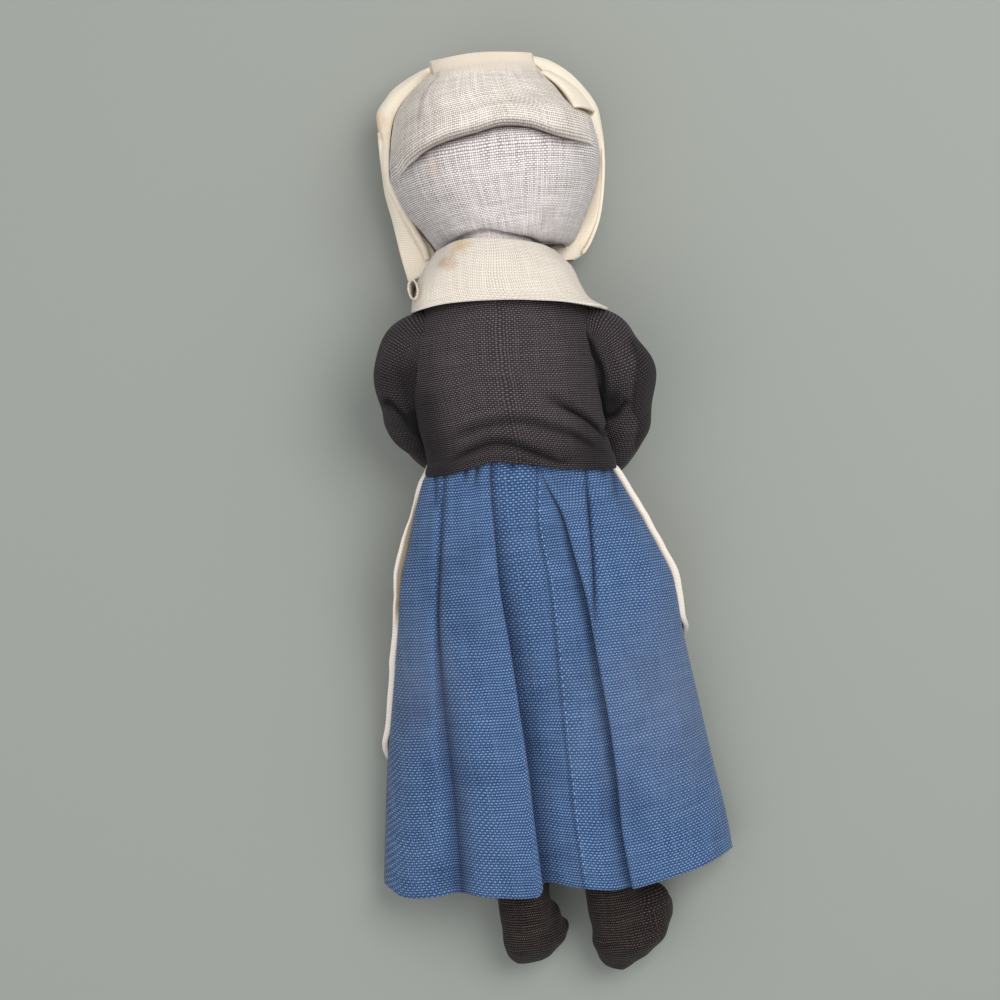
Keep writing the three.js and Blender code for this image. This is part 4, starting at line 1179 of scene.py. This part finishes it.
# Feet: each a heap of rounds, as photo place, height and radius
legs = {
    "left": {
        "hip": (-12, -13.2, 29.4), "ankle": (-14.6, -127.0, 15.0),
        "foot": [(524, 938, 14.0, 7.0), (521, 949, 11.5, 5.0), (527, 950, 10.5, 4.6), (536, 938, 12.0, 7.4),
                 (535, 936, 7.6, 7.0), (551, 932, 9.0, 5.4), (561, 925, 7.0, 3.2), (546, 914, 11.5, 5.2)]},
    "right": {
        "hip": (12, -13.2, 29.4), "ankle": (13.0, -129.0, 15.0),
        "foot": [(615, 938, 14.0, 7.4), (613, 953, 11.0, 5.0), (620, 954, 10.5, 5.2), (630, 934, 13.0, 8.6),
                 (630, 936, 8.4, 8.0), (645, 925, 11.0, 7.6), (656, 912, 8.5, 5.6), (664, 903, 6.5, 3.4),
                 (640, 906, 12.0, 7.6), (652, 899, 10.0, 6.0)]}}
for name, leg in legs.items():
    hip, ankle = Vector(leg["hip"]), Vector(leg["ankle"])
    axis = (ankle - hip).normalized()
    middle = [hip.lerp(ankle, share) for share in (0, 0.15, 0.4, 0.7, 0.9, 1.0)]
    points = [hip - axis * 9] + middle + [ankle + axis * 5]
    rounds = [ballAt((*seen(px, py, z), z), (radius, radius, radius)) for px, py, z, radius in leg["foot"]]
    made = bag(f"leg_{name}_body", points, [4, 10.4, 10.6, 9.8, 9.0, 8.4, 8.0, 6.0], stockingWeave, rounds)
    stuff(made, voxel=1.5, swell=1.5, most=0.8)
    wrapThreads(made, leg["hip"], leg["ankle"])
    soften(made)
    dress(made, f"leg_{name}", "stocking_weave", f"leg_skin_{name}", f"leg_stuffing_{name}")
print("legs made")

# Arms: inside the sleeves, with mitten hands and a thumb
for name, sleeve in sleeves.items():
    side = -1 if name == "left" else 1
    wristY = sleeve["path"][-1][1]
    hand = [(13.8 * side, wristY + 0.4, 6.9), (8 * side, wristY, 6.2), (4.6 * side, wristY - 0.4, 6.1)]
    placed = sleeve["path"][1:6] + hand
    thumb = ballAt((9.5 * side, wristY + 3.6, 6.4), (1.7, 3.0, 1.7))
    made = bag(f"arm_{name}_body", placed, [4.6, 6.0, 6.0, 5.6, 4.8, 4.2, 4.4, 2.6], bodyMuslin, [thumb])
    stuff(made, voxel=1.2, swell=1.0, most=0.5)
    wrapThreads(made, placed[0], placed[5])
    soften(made)
    dress(made, f"arm_{name}", "body_muslin", f"arm_skin_{name}", f"arm_stuffing_{name}")

torso = bag(
    "torso_body", [(0, y, 33) for y in (4.6, 7, 14, 28, 43, 56, 64, 68.5)],
    [9, 14, 20, 22, 24, 21.5, 16, 11], bodyMuslin, flatten=0.6, columns=48)
stuff(torso, voxel=1.8, swell=1.0, most=0.4)
wrapThreads(torso, (0, 4, 33), (0, 69, 33))
dress(torso, "torso", "body_muslin", "torso_skin", "torso_stuffing")

neckRadii = [3, 7.5, 9.3, 9.3, 9.3, 6]
neck = bag("neck_body", [(0, y, 32) for y in (61, 64, 69, 80, 88, 95)], neckRadii, bodyMuslin)
stuff(neck, voxel=1.4, swell=1.0, most=0.3)
wrapThreads(neck, (0, 60, 32), (0, 97, 32))
dress(neck, "neck", "body_muslin", "neck")

skull = {"x": 2, "y": 107, "z": 28, "half": 25.0, "depth": 21.0}


def headPlace(p, q):
    turn, tilt = 2 * pi * p, pi * mix(0.02, 0.98, q)
    x = skull["x"] + skull["half"] * cos(turn) * sin(tilt)
    return x, skull["y"] - skull["half"] * cos(tilt), skull["z"] + skull["depth"] * sin(turn) * sin(tilt)


head = clothGrid("head_body", 40, 24, headPlace, laid(0.16, 0.08), bodyMuslin, wrap=True)
closeEnds(head)
stuff(head, voxel=1.8, swell=1.0, most=0.4)
wrapThreads(head, (0, 80, 30), (0, 134, 30))
soften(head)
dress(head, "head", "body_muslin", "head_skin", "head_stuffing")


# A plain face in thread: two eyes, a nose stitch and a short mouth
def onFace(x, y):
    share = max(0.0, 1 - ((x - skull["x"]) / skull["half"]) ** 2 - ((y - skull["y"]) / skull["half"]) ** 2)
    return x, y, skull["z"] - skull["depth"] * sqrt(share) - 0.2


face = {"eyeX": 9, "eyeY": 109, "browY": 113.4, "noseY": 103.6, "mouthY": 97.6}
ring = [pi * i / 6 for i in range(13)]
darkLines = []
for side in (-1, 1):
    eyeX, eyeY = side * face["eyeX"], face["eyeY"]
    darkLines.append([onFace(eyeX + 1.3 * cos(turn), eyeY + 1.5 * sin(turn)) for turn in ring])
    darkLines.append([onFace(eyeX + dx, eyeY) for dx in (-0.9, 0, 0.9)])
    darkLines.append([
        onFace(side * mix(6, 12.5, i / 6), face["browY"] + 0.8 * sin(pi * i / 6)) for i in range(7)])
strands("eye_threads", darkLines, 0.9, darkThread, "head", "body_muslin")
redLines = [
    [onFace(mix(-1.0, 1.0, i / 4), face["noseY"] - 0.5 * sin(pi * i / 4)) for i in range(5)],
    [onFace(mix(-4.2, 4.2, i / 10), face["mouthY"] - 1.2 * sin(pi * i / 10)) for i in range(11)]]
strands("mouth_threads", redLines, 0.8, redThread, "head", "body_muslin")


# Waistbands and the flat hip flap, hidden inside the clothes
waistband = {
    "bottom": 12.4, "height": 8.4, "halfWidth": 22.6, "halfDepth": 12.8, "axisZ": 33,
    "flat": (0.135, 0.0084)}


def waistbandPlace(outset):
    def place(p, q):
        turn = 2 * pi * p
        x = (waistband["halfWidth"] + outset) * cos(turn)
        z = waistband["axisZ"] + (waistband["halfDepth"] + outset) * sin(turn)
        return x, waistband["bottom"] + waistband["height"] * q, z
    return place


waistbands = [
    ("skirt_waistband", 0.0, skirtWeave, "skirt_weave"), ("apron_waistband", 1.2, bandTape, "binding_tape")]
for label, outset, material, slot in waistbands:
    band = clothGrid(
        f"{label}_cloth", 80, 6, waistbandPlace(outset), laid(*waistband["flat"]), material, wrap=True)
    thicken(band, 1.0, 0.0)
    dress(band, "torso", slot, label)


hipFlap = {"half": 19.5, "top": 3.0, "bottom": -2.6, "z": 29.4, "flat": (0.039, 0.0056)}


def hipFlapPlace(p, q):
    x, y = mix(-hipFlap["half"], hipFlap["half"], p), mix(hipFlap["top"], hipFlap["bottom"], q)
    return x, y, hipFlap["z"] + 0.25 * ripple(p * 6, q * 2, 1.0)


hipFlapCloth = clothGrid("hip_flap_cloth", 30, 8, hipFlapPlace, laid(*hipFlap["flat"]), bodyMuslin)
thicken(hipFlapCloth, 1.6, 0.0)
dress(hipFlapCloth, "hips", "body_muslin", "hip_flap")
print("body made")

# Plain pale floor and soft studio light, strongest from the right of the photograph
floorMesh = bmesh.new()
bmesh.ops.create_grid(floorMesh, x_segments=1, y_segments=1, size=3.0)
floorMaterial, floorShader = newMaterial("pale_floor")[::2]
floorShader.inputs["Base Color"].default_value = linear(142, 145, 138)
floorShader.inputs["Roughness"].default_value = 0.7
floor = objectFrom("floor", floorMesh, floorMaterial)

world = bpy.data.worlds.new("studio")
scene.world = world
world.use_nodes = True
sky = world.node_tree.nodes["Background"]
sky.inputs["Color"].default_value = (0.93, 0.96, 1.0, 1.0)
sky.inputs["Strength"].default_value = 0.68
lights = {"key_light": {"place": (0.42, 0.3, 0.95), "size": 0.6, "power": 7.2},
          "fill_light": {"place": (-0.5, -0.2, 1.1), "size": 0.9, "power": 3.4}}
for label, light in lights.items():
    lamp = bpy.data.lights.new(label, "AREA")
    lamp.size, lamp.energy = light["size"], light["power"]
    lampObject = addObject(label, lamp)
    lampObject.location = light["place"]
    lampObject.rotation_euler = (Vector(light["place"]) * -1).to_track_quat("-Z", "Y").to_euler()
scene.view_settings.view_transform = "Standard"
print("stage made")
